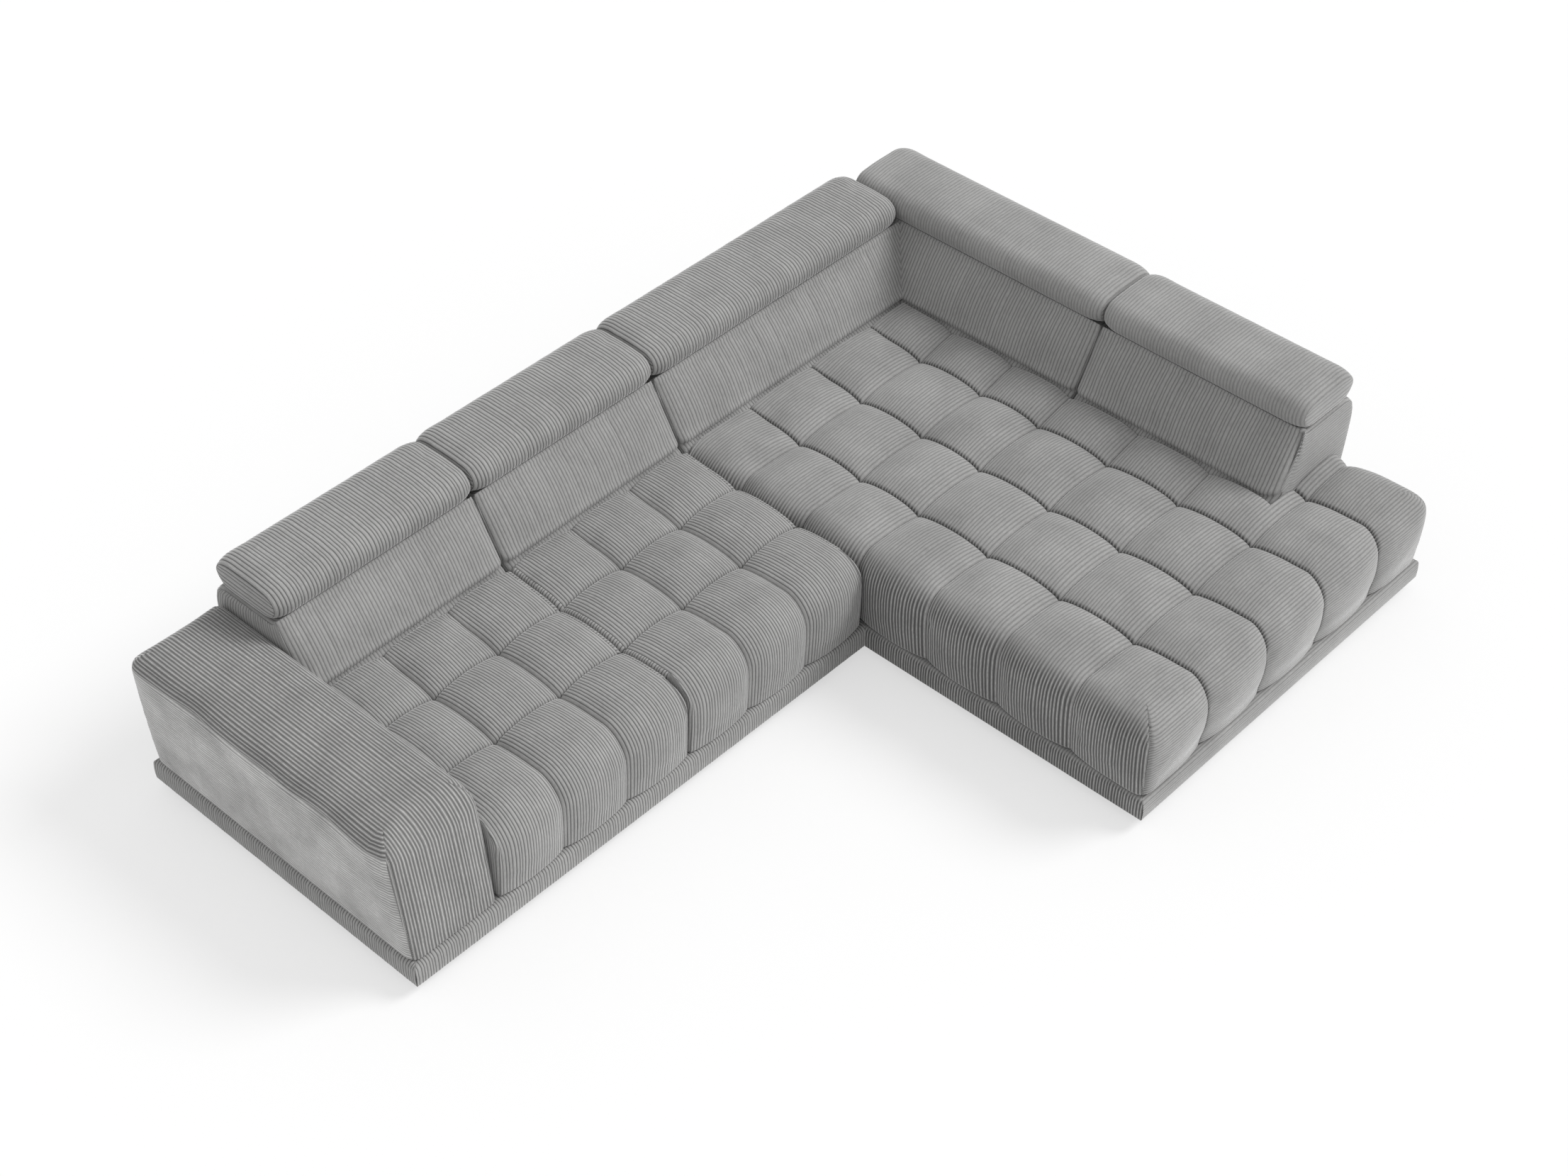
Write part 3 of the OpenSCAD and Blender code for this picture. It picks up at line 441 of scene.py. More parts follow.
def sewn(name, looks, make, cap, body, node, hold, limit=None):
    # makes a padded piece: a rough skin for the simulation, then the ribbed one and its stitch lines
    moves = None
    rough = Skin(name, looks, rough=True)
    make(rough)
    moves = simulated(rough, cap, hold)
    skin = Skin(name, looks, moves=moves)
    make(skin)
    pts = np.concatenate(skin.points)
    pts = limit(pts) if limit is not None else pts
    stitchPaths.setdefault(body, []).extend((pts[ids] - planZero) / 1000 for ids in skin.seams)
    dress(skin.build(limit), body, node)


class Paint:
    # a material; each call adds a node and gives its output
    def __init__(self, name):
        self.material = bpy.data.materials.new(name)
        self.material.use_nodes = True
        self.tree = self.material.node_tree
        self.shader = self.tree.nodes["Principled BSDF"]
        self.coords = None

    def feed(self, node, inputs):
        # each input takes a number, a colour, a vector or another node's output
        for name, value in inputs.items():
            socket = node.inputs[name]
            if isinstance(value, (int, float)):
                socket.default_value = value
            elif isinstance(value, tuple):
                socket.default_value = value if len(value) == len(socket.default_value) else (*value, 1)
            else:
                self.tree.links.new(value, socket)

    def add(self, kind, inputs, **settings):
        node = self.tree.nodes.new("ShaderNode" + kind)
        for name, value in settings.items():
            setattr(node, name, value)
        self.feed(node, inputs)
        return node.outputs

    def where(self, kind="Object"):
        self.coords = self.coords or self.add("TexCoord", {})
        return self.coords[kind]

    def axis(self, letter, kind="Object"):
        return self.add("SeparateXYZ", {0: self.where(kind)})[letter]

    def scaled(self, scale, kind="Object", turn=(0.0, 0.0, 0.0)):
        return self.add("Mapping", {"Vector": self.where(kind), "Scale": scale, "Rotation": turn})["Vector"]

    def maths(self, operation, a, b=None, clamp=False):
        return self.add("Math", {0: a} if b is None else {0: a, 1: b}, operation=operation, use_clamp=clamp)[0]

    def noise(self, vector, scale, detail, rough):
        inputs = {"Vector": vector, "Scale": scale, "Detail": detail, "Roughness": rough}
        return self.add("TexNoise", inputs)["Fac"]

    def cells(self, scale):
        return self.add("TexVoronoi", {"Vector": self.where(), "Scale": scale})["Distance"]

    def ramp(self, source, *stops):
        # stops of (place, grey) or (place, colour)
        node = self.tree.nodes.new("ShaderNodeValToRGB")
        self.feed(node, {"Fac": source})
        while len(node.color_ramp.elements) < len(stops):
            node.color_ramp.elements.new(0.5)
        for element, (place, colour) in zip(node.color_ramp.elements, stops):
            element.position = place
            element.color = (*(colour if isinstance(colour, tuple) else (colour,) * 3), 1)
        return node.outputs["Color"]

    def mix(self, a, b, share=1.0, kind="MULTIPLY"):
        return self.add("Mix", {"Factor": share, "A": a, "B": b}, data_type="RGBA", blend_type=kind)["Result"]

    def bump(self, height, strength, distance, under=None):
        more = {} if under is None else {"Normal": under}
        return self.add("Bump", {"Height": height, "Strength": strength, "Distance": distance, **more})["Normal"]

    def finish(self, colour, roughness, normal, more=None):
        self.feed(self.shader, {"Base Color": colour, "Roughness": roughness, "Normal": normal, **(more or {})})
        return self.material


# in each look the valley grey is painted shade in a rib's valley, the crest grey a painted highlight on its crest,
# and wale the cloth's own grey
corduroys = {
    "wide": {  # seats, the first three headrests and most rails: thin lines of painted shade between broad wales
        "valley": 0.105, "wale": 0.330, "crest": 0.395, "ribHeight": 1.6,
        "pile": 0.08, "pileScale": 9.0,
    },
    "taut": {  # the backs: the same cloth, pulled tight, with fainter painted shade and highlight
        "valley": 0.200, "wale": 0.338, "crest": 0.372, "ribHeight": 1.0,
        "pile": 0.08, "pileScale": 7.0,
    },
    "combed": {  # the arm's top and front: a bright painted highlight on the crests
        "valley": 0.130, "wale": 0.250, "crest": 0.500, "ribHeight": 1.6,
        "pile": 0.08, "pileScale": 9.0,
    },
    "brushed": {  # the arm's outer side: painted light, a lighter and more mottled copy of the cloth
        "valley": 0.300, "wale": 0.460, "crest": 0.660, "ribHeight": 1.1,
        "pile": 0.20, "pileScale": 8.0,
    },
    "level": {  # the last two headrests and the open end of the last back: faint painted shade and highlight, smooth to the eye
        "valley": 0.270, "wale": 0.335, "crest": 0.365, "ribHeight": 0.9,
        "pile": 0.10, "pileScale": 6.0,
    },
    "flat": {  # corner and chaise: faint painted shade and highlight on top; painted shade down the sides that face along X, with bright painted crest lines
        "valley": 0.240, "wale": 0.322, "crest": 0.365, "ribHeight": 0.9,
        "pile": 0.12, "pileScale": 6.0, "side": (0.080, 0.160, 0.420),
    },
}
cloth = {
    "sheen": 0.80, "sheenRoughness": 0.34, "roughness": 0.92, "fibreScale": 1500.0,
    "streaks": (5.0, 60.0),       # fuzz along a rib: how many in a rib's width and in a metre
    "streak": 0.10,               # its strength
    "warm": (1.0, 0.994, 0.980),  # tint of every grey
    "ragged": 0.06,               # how far the fuzz blurs the edge of a rib
}


def grey(level):
    return tuple(level * v for v in cloth["warm"])


def corduroyMaterial(look):
    p, shade = Paint(look + "Corduroy"), corduroys[look]
    # 0 on a rib's crest, 0.5 in the valley
    off = p.maths("ABSOLUTE", p.maths("SUBTRACT", p.maths("FRACT", p.axis("X", "UV")), 0.5))
    fibre = p.noise(p.where(), cloth["fibreScale"], 2.0, 0.6)
    streak = p.noise(p.scaled((*cloth["streaks"], 1), "UV"), 1.0, 3.0, 0.65)
    tuft = p.noise(p.where(), cloth["fibreScale"] * 0.25, 3.0, 0.6)
    place = p.maths("ADD", off, p.maths("MULTIPLY", p.maths("SUBTRACT", tuft, 0.5), cloth["ragged"]))
    broken = p.ramp(streak, (0.30, 0.6), (0.60, 1.0))

    # painted shade darkens each rib towards its valley, and a painted highlight, broken by the streaks, lightens
    # its crest
    def ribbed(valley, wale, crest, thin):
        lines = p.ramp(place, (0.30, grey(wale)), (0.39, grey(0.70 * wale)), (0.46, grey(valley)))
        crestHighlightMask = p.maths("MULTIPLY", p.ramp(place, (0.3 * thin, 1), (thin, 0)), broken)
        return p.mix(lines, grey(crest), crestHighlightMask, "MIX")
    colour = ribbed(shade["valley"], shade["wale"], shade["crest"], 0.16)
    if "side" in shade:  # painted shade with bright painted crest lines on the sides that the ribs run down, by how far the surface turns to them
        sideShadeMask = p.ramp(p.maths("ABSOLUTE", p.axis("X", "Normal")), (0.45, 0), (0.90, 1))
        colour = p.mix(colour, ribbed(*shade["side"], 0.24), sideShadeMask, "MIX")
    for source, low, high, spread in (
            (p.noise(p.where(), shade["pileScale"], 3.0, 0.55), 0.30, 0.70, shade["pile"]),
            (fibre, 0.25, 0.75, 0.08), (streak, 0.34, 0.66, cloth["streak"])):
        colour = p.mix(colour, p.ramp(source, (low, 1 - spread), (high, 1 + spread)))
    fuzz = p.bump(streak, 0.4, 0.0010)
    return p.finish(colour, cloth["roughness"], p.bump(fibre, 0.3, 0.0005, fuzz), {
        "Sheen Weight": cloth["sheen"], "Sheen Roughness": cloth["sheenRoughness"], "Specular IOR Level": 0.15})


wood = {
    "timberPale": (0.62, 0.46, 0.28), "timberDark": (0.42, 0.27, 0.14), "knot": (0.5, 0.42, 0.36),
    "plyPale": (0.66, 0.51, 0.33), "plyDark": (0.50, 0.36, 0.21),
}


def timberMaterial(along):
    # sawn softwood: growth lines and fine fibres along the board, with a few knots
    p = Paint("sawnTimber" + "XYZ"[along])
    pale, dark = wood["timberPale"], wood["timberDark"]
    lines, fibres = (tuple(a if k == along else b for k in range(3)) for a, b in ((1.2, 26.0), (18.0, 420.0)))
    grain = p.noise(p.scaled(lines), 1.0, 5.0, 0.55)
    fine = p.noise(p.scaled(fibres), 1.0, 3.0, 0.6)
    knot = p.noise(p.where(), 5.5, 1.0, 0.4)
    colour = p.mix(p.ramp(grain, (0.30, dark), (0.45, pale), (0.58, dark), (0.66, pale)),
                   p.ramp(fine, (0.3, 0.84), (0.7, 1.08)))
    colour = p.mix(colour, p.ramp(knot, (0.70, 1.0), (0.78, wood["knot"])))
    return p.finish(colour, p.ramp(fine, (0.2, 0.62), (0.8, 0.82)), p.bump(fine, 0.4, 0.0005))


def plywoodMaterial():
    # rotary cut birch: a broad flowing figure and fine fibres
    p = Paint("birchPlywood")
    pale, dark = wood["plyPale"], wood["plyDark"]
    broad = p.noise(p.scaled((2.0, 9.0, 9.0)), 1.4, 4.0, 0.6)
    fine = p.noise(p.scaled((30.0, 380.0, 380.0)), 1.0, 2.0, 0.6)
    colour = p.mix(p.ramp(broad, (0.35, dark), (0.5, pale), (0.62, dark), (0.70, pale)),
                   p.ramp(fine, (0.3, 0.88), (0.7, 1.06)))
    return p.finish(colour, p.ramp(fine, (0.2, 0.55), (0.8, 0.72)), p.bump(fine, 0.25, 0.0003))


steelLook = {"pale": (0.68, 0.69, 0.70), "dull": (0.50, 0.51, 0.53), "spangle": 160.0}


def steelMaterial():
    # zinc plate: faint spangles, cloudy polish and fine rolling lines
    p = Paint("zincSteel")
    tone = p.maths("ADD", p.maths("MULTIPLY", p.cells(steelLook["spangle"]), 0.6),
                   p.maths("MULTIPLY", p.noise(p.where(), 24.0, 3.0, 0.6), 0.6))
    rolled = p.noise(p.scaled((60.0, 60.0, 900.0)), 1.0, 2.0, 0.5)
    return p.finish(p.ramp(tone, (0.25, steelLook["dull"]), (0.75, steelLook["pale"])),
                    p.ramp(rolled, (0.2, 0.26), (0.8, 0.46)), p.bump(rolled, 0.15, 0.0001), {"Metallic": 1.0})


strapLook = {"dark": (0.012, 0.012, 0.014), "pale": (0.075, 0.075, 0.080), "pitch": 0.0028}


def webbingMaterial():
    # elastic strap: cords both ways, one over the other
    p = Paint("elasticWebbing")
    turns = 2 * math.pi / strapLook["pitch"]
    waves = [p.maths("SINE", p.maths("MULTIPLY", p.axis(letter), turns)) for letter in "XY"]
    woven = p.maths("ADD", p.maths("MULTIPLY", p.maths("MULTIPLY", *waves), 0.5), 0.5)
    dust = p.noise(p.where(), 60.0, 3.0, 0.6)
    colour = p.mix(p.ramp(woven, (0.1, strapLook["dark"]), (0.9, strapLook["pale"])),
                   p.ramp(dust, (0.3, 0.8), (0.7, 1.2)))
    return p.finish(colour, 0.85, p.bump(woven, 0.6, 0.0004))


def dustClothMaterial():
    # thin pressed fleece, with matted fibres and a dimple pattern
    p = Paint("pressedFleece")
    fibres = p.noise(p.scaled((140.0, 900.0, 900.0), turn=(0.0, 0.0, 0.6)), 1.0, 4.0, 0.7)
    dots = p.cells(420.0)
    colour = p.mix(p.ramp(fibres, (0.3, (0.006, 0.006, 0.007)), (0.75, (0.045, 0.045, 0.048))),
                   p.ramp(dots, (0.1, 0.5), (0.5, 1.2)), 0.6)
    return p.finish(colour, 0.95, p.bump(dots, 0.4, 0.0003))


def footMaterial():
    # moulded black plastic: fine spark texture, paler rub marks near the floor
    p = Paint("mouldedPlastic")
    spark, rub = p.noise(p.where(), 1400.0, 2.0, 0.6), p.noise(p.where(), 60.0, 4.0, 0.6)
    low = p.maths("SUBTRACT", 1.0, p.maths("MULTIPLY", p.axis("Z"), 90.0), clamp=True)
    worn = p.ramp(p.maths("MULTIPLY", low, rub), (0.2, (0.014, 0.014, 0.015)), (0.8, 0.10))
    return p.finish(worn, p.ramp(spark, (0.2, 0.42), (0.8, 0.62)), p.bump(spark, 0.3, 0.0002))


def threadMaterial():
    # spun thread: a fine mottled twist
    p = Paint("spunThread")
    twist = p.noise(p.where(), 2200.0, 2.0, 0.6)
    return p.finish(p.ramp(twist, (0.3, (0.30, 0.30, 0.295)), (0.7, (0.46, 0.46, 0.45))), 0.7,
                    p.bump(twist, 0.5, 0.0003), {"Sheen Weight": 0.2})


cloths = {look: corduroyMaterial(look) for look in corduroys}
steel, thread = steelMaterial(), threadMaterial()
timbers = [timberMaterial(k) for k in range(3)]
shownFinish = {"plywood": plywoodMaterial(), "steel": steel, "webbing": webbingMaterial(),
               "dust_cover": dustClothMaterial(), "feet": footMaterial()}
for name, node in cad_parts.items():
    for place in node.material_slots:
        kind = place.material.name.split(".")[0] if place.material else ""
        if kind == "timber":  # the grain runs along the frame's longest side
            low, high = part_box(name)
            place.material = timbers[int(np.argmax(np.array(high) - np.array(low)))]
        elif kind in shownFinish:
            place.material = shownFinish[kind]
print("materials made")


def plan3(swap, a, b, z):
    return np.stack([b, a, z], -1) if swap else np.stack([a, b, z], -1)


def squareArc(n=33, power=4.0):
    # shares along a quarter turn with a squarer corner, evenly spaced
    t = np.linspace(0, math.pi / 2, 400)
    c, s = np.cos(t) ** (2 / power), np.sin(t) ** (2 / power)
    length = running(np.hypot(np.diff(c), np.diff(s)))
    want = np.linspace(0, length[-1], n)
    return np.interp(want, length, c), np.interp(want, length, s), length[-1]


arcC, arcS, arcLength = squareArc()


def turn(share):
    # direction at a share of a quarter turn: 0 along the first axis, 1 along the second
    k = np.linspace(0, 1, len(arcC))
    return np.interp(share, k, arcC), np.interp(share, k, arcS)


def swell(x, lines, openEnds):
    # 0 on a seam, 1 at a tile's middle
    x = np.asarray(x, float)
    i = np.clip(np.searchsorted(lines, x, side="right") - 1, 0, len(lines) - 2)
    lo, hi = np.take(lines, i), np.take(lines, i + 1)
    t = np.clip((x - lo) / (hi - lo), 0, 1)
    s = np.sin(math.pi * t)
    if openEnds[0]:
        s = np.where(i == 0, np.sin(math.pi / 2 * np.clip(2 * (1 - t), 0, 1)), s)
    if openEnds[1]:
        s = np.where(i == len(lines) - 2, np.sin(math.pi / 2 * np.clip(2 * t, 0, 1)), s)
    return s


class Pad:
    # a crowned pad: flat plan, rolled edges, sides drawn in at the seams and foot
    swap, flare, wrinkle = False, 0, None

    def __init__(self, **k):
        self.__dict__.update(k)

    def batter(self, b):
        # how far a side leans, from its place along the pad
        return 0 * b

    def surface(self, ac, bc, ca, cb, s):
        ac, bc, ca, cb, s = np.broadcast_arrays(ac, bc, ca, cb, s)
        ra = np.where(ca < 0, self.ra[0], self.ra[1])
        rb = np.where(cb < 0, self.rb[0], self.rb[1])
        w = np.abs(ca) / np.maximum(np.abs(ca) + np.abs(cb), 1e-9)
        w = np.where(np.abs(ca) + np.abs(cb) < 1e-9, 0.5, w)
        rv = w * ra + (1 - w) * rb
        top = self.rise(ac, bc)
        run = rv * math.pi / 2
        fall = self.zTop - rv - self.zLow
        t = s * (run + fall)
        th = np.minimum(t / rv, math.pi / 2)
        g = 1 - np.clip((t - run) / fall, 0, 1)
        z = np.where(t < run, top - rv * (1 - np.cos(th)), self.zLow + (top - rv - self.zLow) * g)
        under = np.clip(1 - g * fall / self.footRound, 0, 1)
        tuck = self.footRound * (1 - np.sqrt(1 - under**2))
        out = np.sin(th)
        belly = self.bulge * np.sin(math.pi * np.clip(s, 0, 1)) ** 1.2
        channel = self.pull(ac, bc, ca, cb) * (1 - 0.12 * (1 - g) ** 2)
        inward = (channel + self.drawn * (1 - g) ** 2 + tuck - belly) * out
        a = ac + ca * (ra * out - inward * np.where(ca < 0, self.draw[0], self.draw[1]))
        b = bc + cb * (rb * out - inward)
        a = a - self.flare * g * out * np.clip(-ca, 0, 1)
        b = b + self.batter(bc) * (1 - g)
        p = plan3(self.swap, a, b, z)
        if self.wrinkle is not None:
            p = p + self.wrinkle(p, ac, bc, ca, cb, s)
        return p

    def drop(self, r):
        return r * math.pi / 2 + self.zTop - r - self.zLow

    def sideShares(self, r):
        # shares down a side: close round the edge and at the foot
        total = self.drop(r)
        run = r * math.pi / 2
        n = max(4, round(run / cord["acrossStep"]))
        arc = [run * k / n for k in range(n)]
        straight = total - run - self.footRound
        m = max(2, round(straight / cord["alongStep"]))
        low = [run + straight * k / m for k in range(m)]
        foot = [total - self.footRound * (1 - v) for v in (0, 0.35, 0.65, 0.88, 1)]
        return np.array(arc + low + foot) / total


def framed(before, middle, after, sizes):
    # values with a run of equal ones at both ends
    return np.concatenate([np.full(sizes[0], before), middle, np.full(sizes[1], after)])


def padPanels(skin, pad, centre, aSegs, b0, b1, creases, pitch):
    # main panel: the top with the ribs' own flaps at both ends
    sBack, sFar = pad.sideShares(pad.rb[0]), pad.sideShares(pad.rb[1])
    top = alongStations(b0, b1, creases)
    flaps = len(sBack) - 1, len(sFar) - 1
    bc, cb = framed(b0, top, b1, flaps), framed(-1.0, np.zeros(len(top)), 1.0, flaps)
    s = np.concatenate([sBack[:0:-1], np.zeros(len(top)), sFar[1:]])
    length = np.concatenate([b0 - sBack[:0:-1] * pad.drop(pad.rb[0]), top, b1 + sFar[1:] * pad.drop(pad.rb[1])])
    key = np.arange(len(bc), dtype=float)

    def f(u, v):
        k = v.astype(int)
        return pad.surface(u, bc[k], 0.0 * u, cb[k], s[k])
    across = ribStations([(lo, hi, pitch) for lo, hi in aSegs])
    fade = np.ones(len(bc))
    for c in creases:
        d = np.abs(np.where(s > 0, 1e3, bc - c))
        fade = np.minimum(fade, cord["pressed"] + (1 - cord["pressed"]) * smoothStep(d / 14))
    seamsA = [int(np.argmin(np.abs(across[1] - lo))) for lo, _ in aSegs[1:]]
    seamsB = [int(np.argmin(np.where(s > 0, 1e3, np.abs(bc - c)))) for c in creases]
    f0, f1 = flaps[0], flaps[0] + len(top)
    held = np.zeros((len(across[0]), len(bc)))
    held[:, [0, -1]] = 1
    held[[0, -1], f0:f1] = 1  # the flaps run on into the corner strips
    onTop = pickStations(top - top[0], [c - f0 for c in seamsB], simulation["mesh"])
    picked = np.array(sorted({f0 - k for k in flapPicks(pad, pad.rb[0])} | {f0 + k for k in onTop} |
                             {f1 - 1 + k for k in flapPicks(pad, pad.rb[1])}))
    ids = skin.panel(f, across, (key, length), centre, fade[None, :], (seamsA, seamsB), held, picked=picked)
    return ids, f0, f1


def cornerStrip(skin, pad, centre, ac, bc, sa, sb, pitch, stitched=False):
    # half of a rolled corner: the flap's ribs go on side by side until the corner's seam cuts them off
    rb = pad.rb[0] if sb < 0 else pad.rb[1]
    s = pad.sideShares(rb)
    total = pad.drop(rb)
    shares = np.linspace(0, 0.5, 13)  # 0 points along b, 0.5 is the seam
    cA, cB = turn(1 - shares)
    around = pad.surface(ac, bc, sa * cA[:, None], sb * cB[:, None], s[None, :])
    steps = np.linalg.norm(np.diff(around, axis=0), axis=2)
    run = np.concatenate([np.zeros((1, len(s))), np.cumsum(steps, axis=0)])
    wide = run[-1]
    number, place, height = ribStations([(0.0, wide.max(), min(pitch, wide.max()))])
    share = np.stack([np.interp(np.minimum(place, w), run[:, k], shares) for k, w in enumerate(wide)], -1)
    share[-1] = 0.5
    number = np.interp(np.minimum(place[:, None], wide[None, :]), place, number)
    fade = smoothStep((wide[None, :] - place[:, None]) / 4)
    held = np.zeros(share.shape)
    held[-1] = held[:, 0] = held[:, -1] = 1

    def f(u, v):
        share0 = share[u.astype(int), v.astype(int)]
        cA, cB = turn(1 - share0)
        return pad.surface(ac, bc, sa * cA, sb * cB, s[v.astype(int)])
    across, along = np.arange(len(place), dtype=float), np.arange(len(s), dtype=float)
    ids = skin.panel(f, (number, across, height), (along, s * total), centre, fade, held=held,
                     picked=flapPicks(pad, rb))
    if stitched and not skin.rough:  # top stitches on the first rib beside the seam
        beside = np.argmin(np.abs(place[:, None] - np.maximum(wide - pitch / 2, 0)[None, :]), axis=0)
        skin.seams.append(ids[beside, np.arange(len(s))][3:])
    return ids


def flapPicks(pad, r):
    # the rough skin's stations down a flap, the same for the flap and the strip beside it
    s = pad.sideShares(r) * pad.drop(r)
    return pickStations(s, (), simulation["mesh"])


halfCorner = np.linspace(0.5, 0, 5)  # shares of a quarter turn round half a corner, from its seam


def sidePanel(skin, pad, centre, sa, ac, b0, b1, pitch, top=None, held=True, finish=0):
    # panel on a side across the ribs, with half a corner at each end
    # its ribs run level along the stations of the top, or down where there are none
    r = pad.ra[0] if sa < 0 else pad.ra[1]
    s, total = pad.sideShares(r), pad.drop(r)
    if top is not None:
        lead = halfCorner[:-1]
        sizes = len(lead), len(lead)
        w = np.concatenate([lead, np.zeros(len(top)), lead[::-1]])
        bc, sb = framed(b0, top, b1, sizes), framed(-1.0, np.zeros(len(top)), 1.0, sizes)
        reach = max(pad.rb) * arcLength
        length = np.where(sb < 0, b0 - w * reach, np.where(sb > 0, b1 + w * reach, bc))
    else:
        reach = max(pad.rb) * arcLength / 2
        end = b1 - b0
        number, place, height = ribStations([(-reach, 0.0, pitch), (0.0, end, pitch), (end, end + reach, pitch)])
        bc = b0 + np.clip(place, 0, end)
        w = np.where(place < 0, -place / reach * 0.5, np.where(place > end, (place - end) / reach * 0.5, 0))
        sb = np.where(place < 0, -1.0, np.where(place > end, 1.0, 0.0))
    key = np.arange(len(bc), dtype=float)

    def at(key, share):
        k = key.astype(int)
        out, beside = turn(w[k])
        return pad.surface(ac, bc[k], sa * out, sb[k] * beside, share)
    if top is not None:
        fade = np.ones(len(bc))
        fade[[0, -1]] = 0.5
        ids = skin.panel(lambda u, v: at(v, u), ribStations([(0.0, 1.0, pitch / total)]), (key, length), centre,
                         fade[None, :], held=held, finish=finish)
        return ids.T  # first index along b, second down the side
    fade = np.ones(len(s))
    fade[0] = 0.0
    return skin.panel(at, (number, key, height), (s, s * total), centre, fade[None, :], held=held)


def backLimit(z, gap=1.2):
    # the face of the backs above their foot line
    share = np.clip((z - plan["leanFrom"]) / (plan["backTop"] - plan["leanFrom"]), 0, 1)
    return plan["lean"] * share - gap


tiles = {
    "seam": 29, "tuft": 62,          # depth of the seams and of their crossings, mm
    "fullAcross": 0.42,              # lower is fuller between the seams that cut the ribs
    "fullBeside": 0.48,              # the same for the seams that run with the ribs
    "puff": 2, "crease": 9, "creaseWidth": 2.3,  # rise of a tile's middle, and the fold of a cut seam
    "foldSeat": 6, "foldChaise": 3, "foldWidth": 4.5,  # the fold of a seam beside the ribs
    "pressed": 0.55, "sunk": 4,      # how much of the seams' depth the backs take up, and how far they press
    "nearBack": 90, "blend": 110,    # how far before the backs it starts, and over what length, mm
    "endGap": 17,                    # the last back presses from this far inside its open end
}


def tiledRise(aLines, bLines, aOpen, bOpen, swap=False):
    # heights of the tiled top; the seams grow shallow where the backs press on it
    cutLines, besideLines = np.array(bLines[1:-1]), np.array(aLines[1:-1])
    fold = tiles["foldChaise"] if swap else tiles["foldSeat"]

    def rise(a, b):
        sa = swell(a, aLines, aOpen) ** tiles["fullBeside"]
        sb = swell(b, bLines, bOpen) ** tiles["fullAcross"]
        x, y = (b, a) if swap else (a, b)
        press = smoothStep((y - plan["backFoot"] + tiles["nearBack"]) / tiles["blend"])
        if swap:  # the side backs press too, behind the chaise
            beside = smoothStep((x - plan["sideFoot"] + tiles["nearBack"]) / tiles["blend"])
            press = np.maximum(press, beside * (y > plan["sideEnd"] + tiles["endGap"]))
        press = 1 - tiles["pressed"] * press
        deep = tiles["seam"] * (1 - sa * sb) + (tiles["tuft"] - tiles["seam"]) * (1 - sa) * (1 - sb)
        z = plan["seatTop"] - press * deep
        near = np.min(np.abs(np.asarray(b)[..., None] - cutLines), axis=-1)
        beside = np.min(np.abs(np.asarray(a)[..., None] - besideLines), axis=-1)
        z = z - press * fold * np.exp(-(beside / tiles["foldWidth"]) ** 2)
        z = z + tiles["puff"] * sa * sb - press * tiles["crease"] * np.exp(-(near / tiles["creaseWidth"]) ** 2)
        return z - tiles["sunk"] * (1 - press)
    return rise


def seatPiece(skin, x0, x1):
    cols = np.linspace(x0, x1, 4)
    rows = np.array([2.0, *plan["rows"]])
    spec = {"side": 14, "front": 104, "rear": 20, "channel": 25, "drawn": 2, "bulge": 8, "footRound": 14,
            "pitch": 10.4}
    rise = tiledRise(cols, rows, (False, False), (True, True))

    def pull(a, b, ca, cb):
        return spec["channel"] * (1 - swell(a, cols, (False, False)) ** 0.5) * (np.abs(cb) > 0)
    pad = Pad(ra=(spec["side"], spec["side"]), rb=(spec["front"], spec["rear"]), rise=rise,
              zTop=plan["seatTop"], zLow=plan["plinthTop"] + 1, footRound=spec["footRound"], bulge=spec["bulge"],
              drawn=spec["drawn"], draw=(0.2, 0.2), pull=pull)
    centre = ((x0 + x1) / 2, 400, 260)
    a0, a1 = x0 + spec["side"], x1 - spec["side"]
    b0, b1 = rows[0] + spec["front"], plan["tilesEnd"]
    segs = [(a0, cols[1]), (cols[1], cols[2]), (cols[2], a1)]
    m, f0, f1 = padPanels(skin, pad, centre, segs, b0, b1, rows[1:3], spec["pitch"])
    left = sidePanel(skin, pad, centre, -1, a0, b0, b1, spec["pitch"])
    right = sidePanel(skin, pad, centre, 1, a1, b0, b1, spec["pitch"])
    closePad(skin, pad, centre, m, f0, f1, left, right, a0, a1, b0, b1, spec["pitch"])


def seatLimit(p):
    p[:, 1] = np.minimum(p[:, 1], plan["backFoot"] + backLimit(p[:, 2]))
    return p


def joinSide(skin, edge, lo, hi, side, halves, near, far):
    # a panel's edge to the side below it and to the corner strips at both ends
    skin.zip(edge[lo:hi], sideTop(side, halves))
    skin.zip(edge[:lo + 1][::-1], near[0])
    skin.zip(edge[hi - 1:], far[0])
    skin.zip(near[-1], side[0])
    skin.zip(far[-1], side[-1])


def closePad(skin, pad, centre, m, f0, f1, left, right, a0, a1, b0, b1, pitch, halves=1):
    # corner strips, seams and the hidden underside
    strips = {}
    for sa, ac in ((-1, a0), (1, a1)):
        for sb, bc in ((-1, b0), (1, b1)):
            strips[sa, sb] = cornerStrip(skin, pad, centre, ac, bc, sa, sb, pitch, stitched=halves > 1 and sb < 0)
    for sa, edge, side in ((-1, m[0], left), (1, m[-1], right)):
        joinSide(skin, edge, f0, f1, side, halves, strips[sa, -1], strips[sa, 1])
        if halves > 1:  # top stitches on the first rib inside each seam
            skin.seams.append((m[2] if sa < 0 else m[-3])[f0:f1])
    loop = list(m[:, 0]) + list(strips[1, -1][1:, -1]) + list(right[1:, -1]) + \
        list(strips[1, 1][:-1, -1][::-1]) + list(m[::-1, -1][1:]) + list(strips[-1, 1][1:, -1]) + \
        list(left[::-1, -1][1:]) + list(strips[-1, -1][:-1, -1][::-1])[:-1]
    skin.fan(loop, centre)


def sideTop(side, halves):
    # a side panel's upper edge without the points of its half corners
    return side[halves - 1:len(side) - halves + 1, 0]


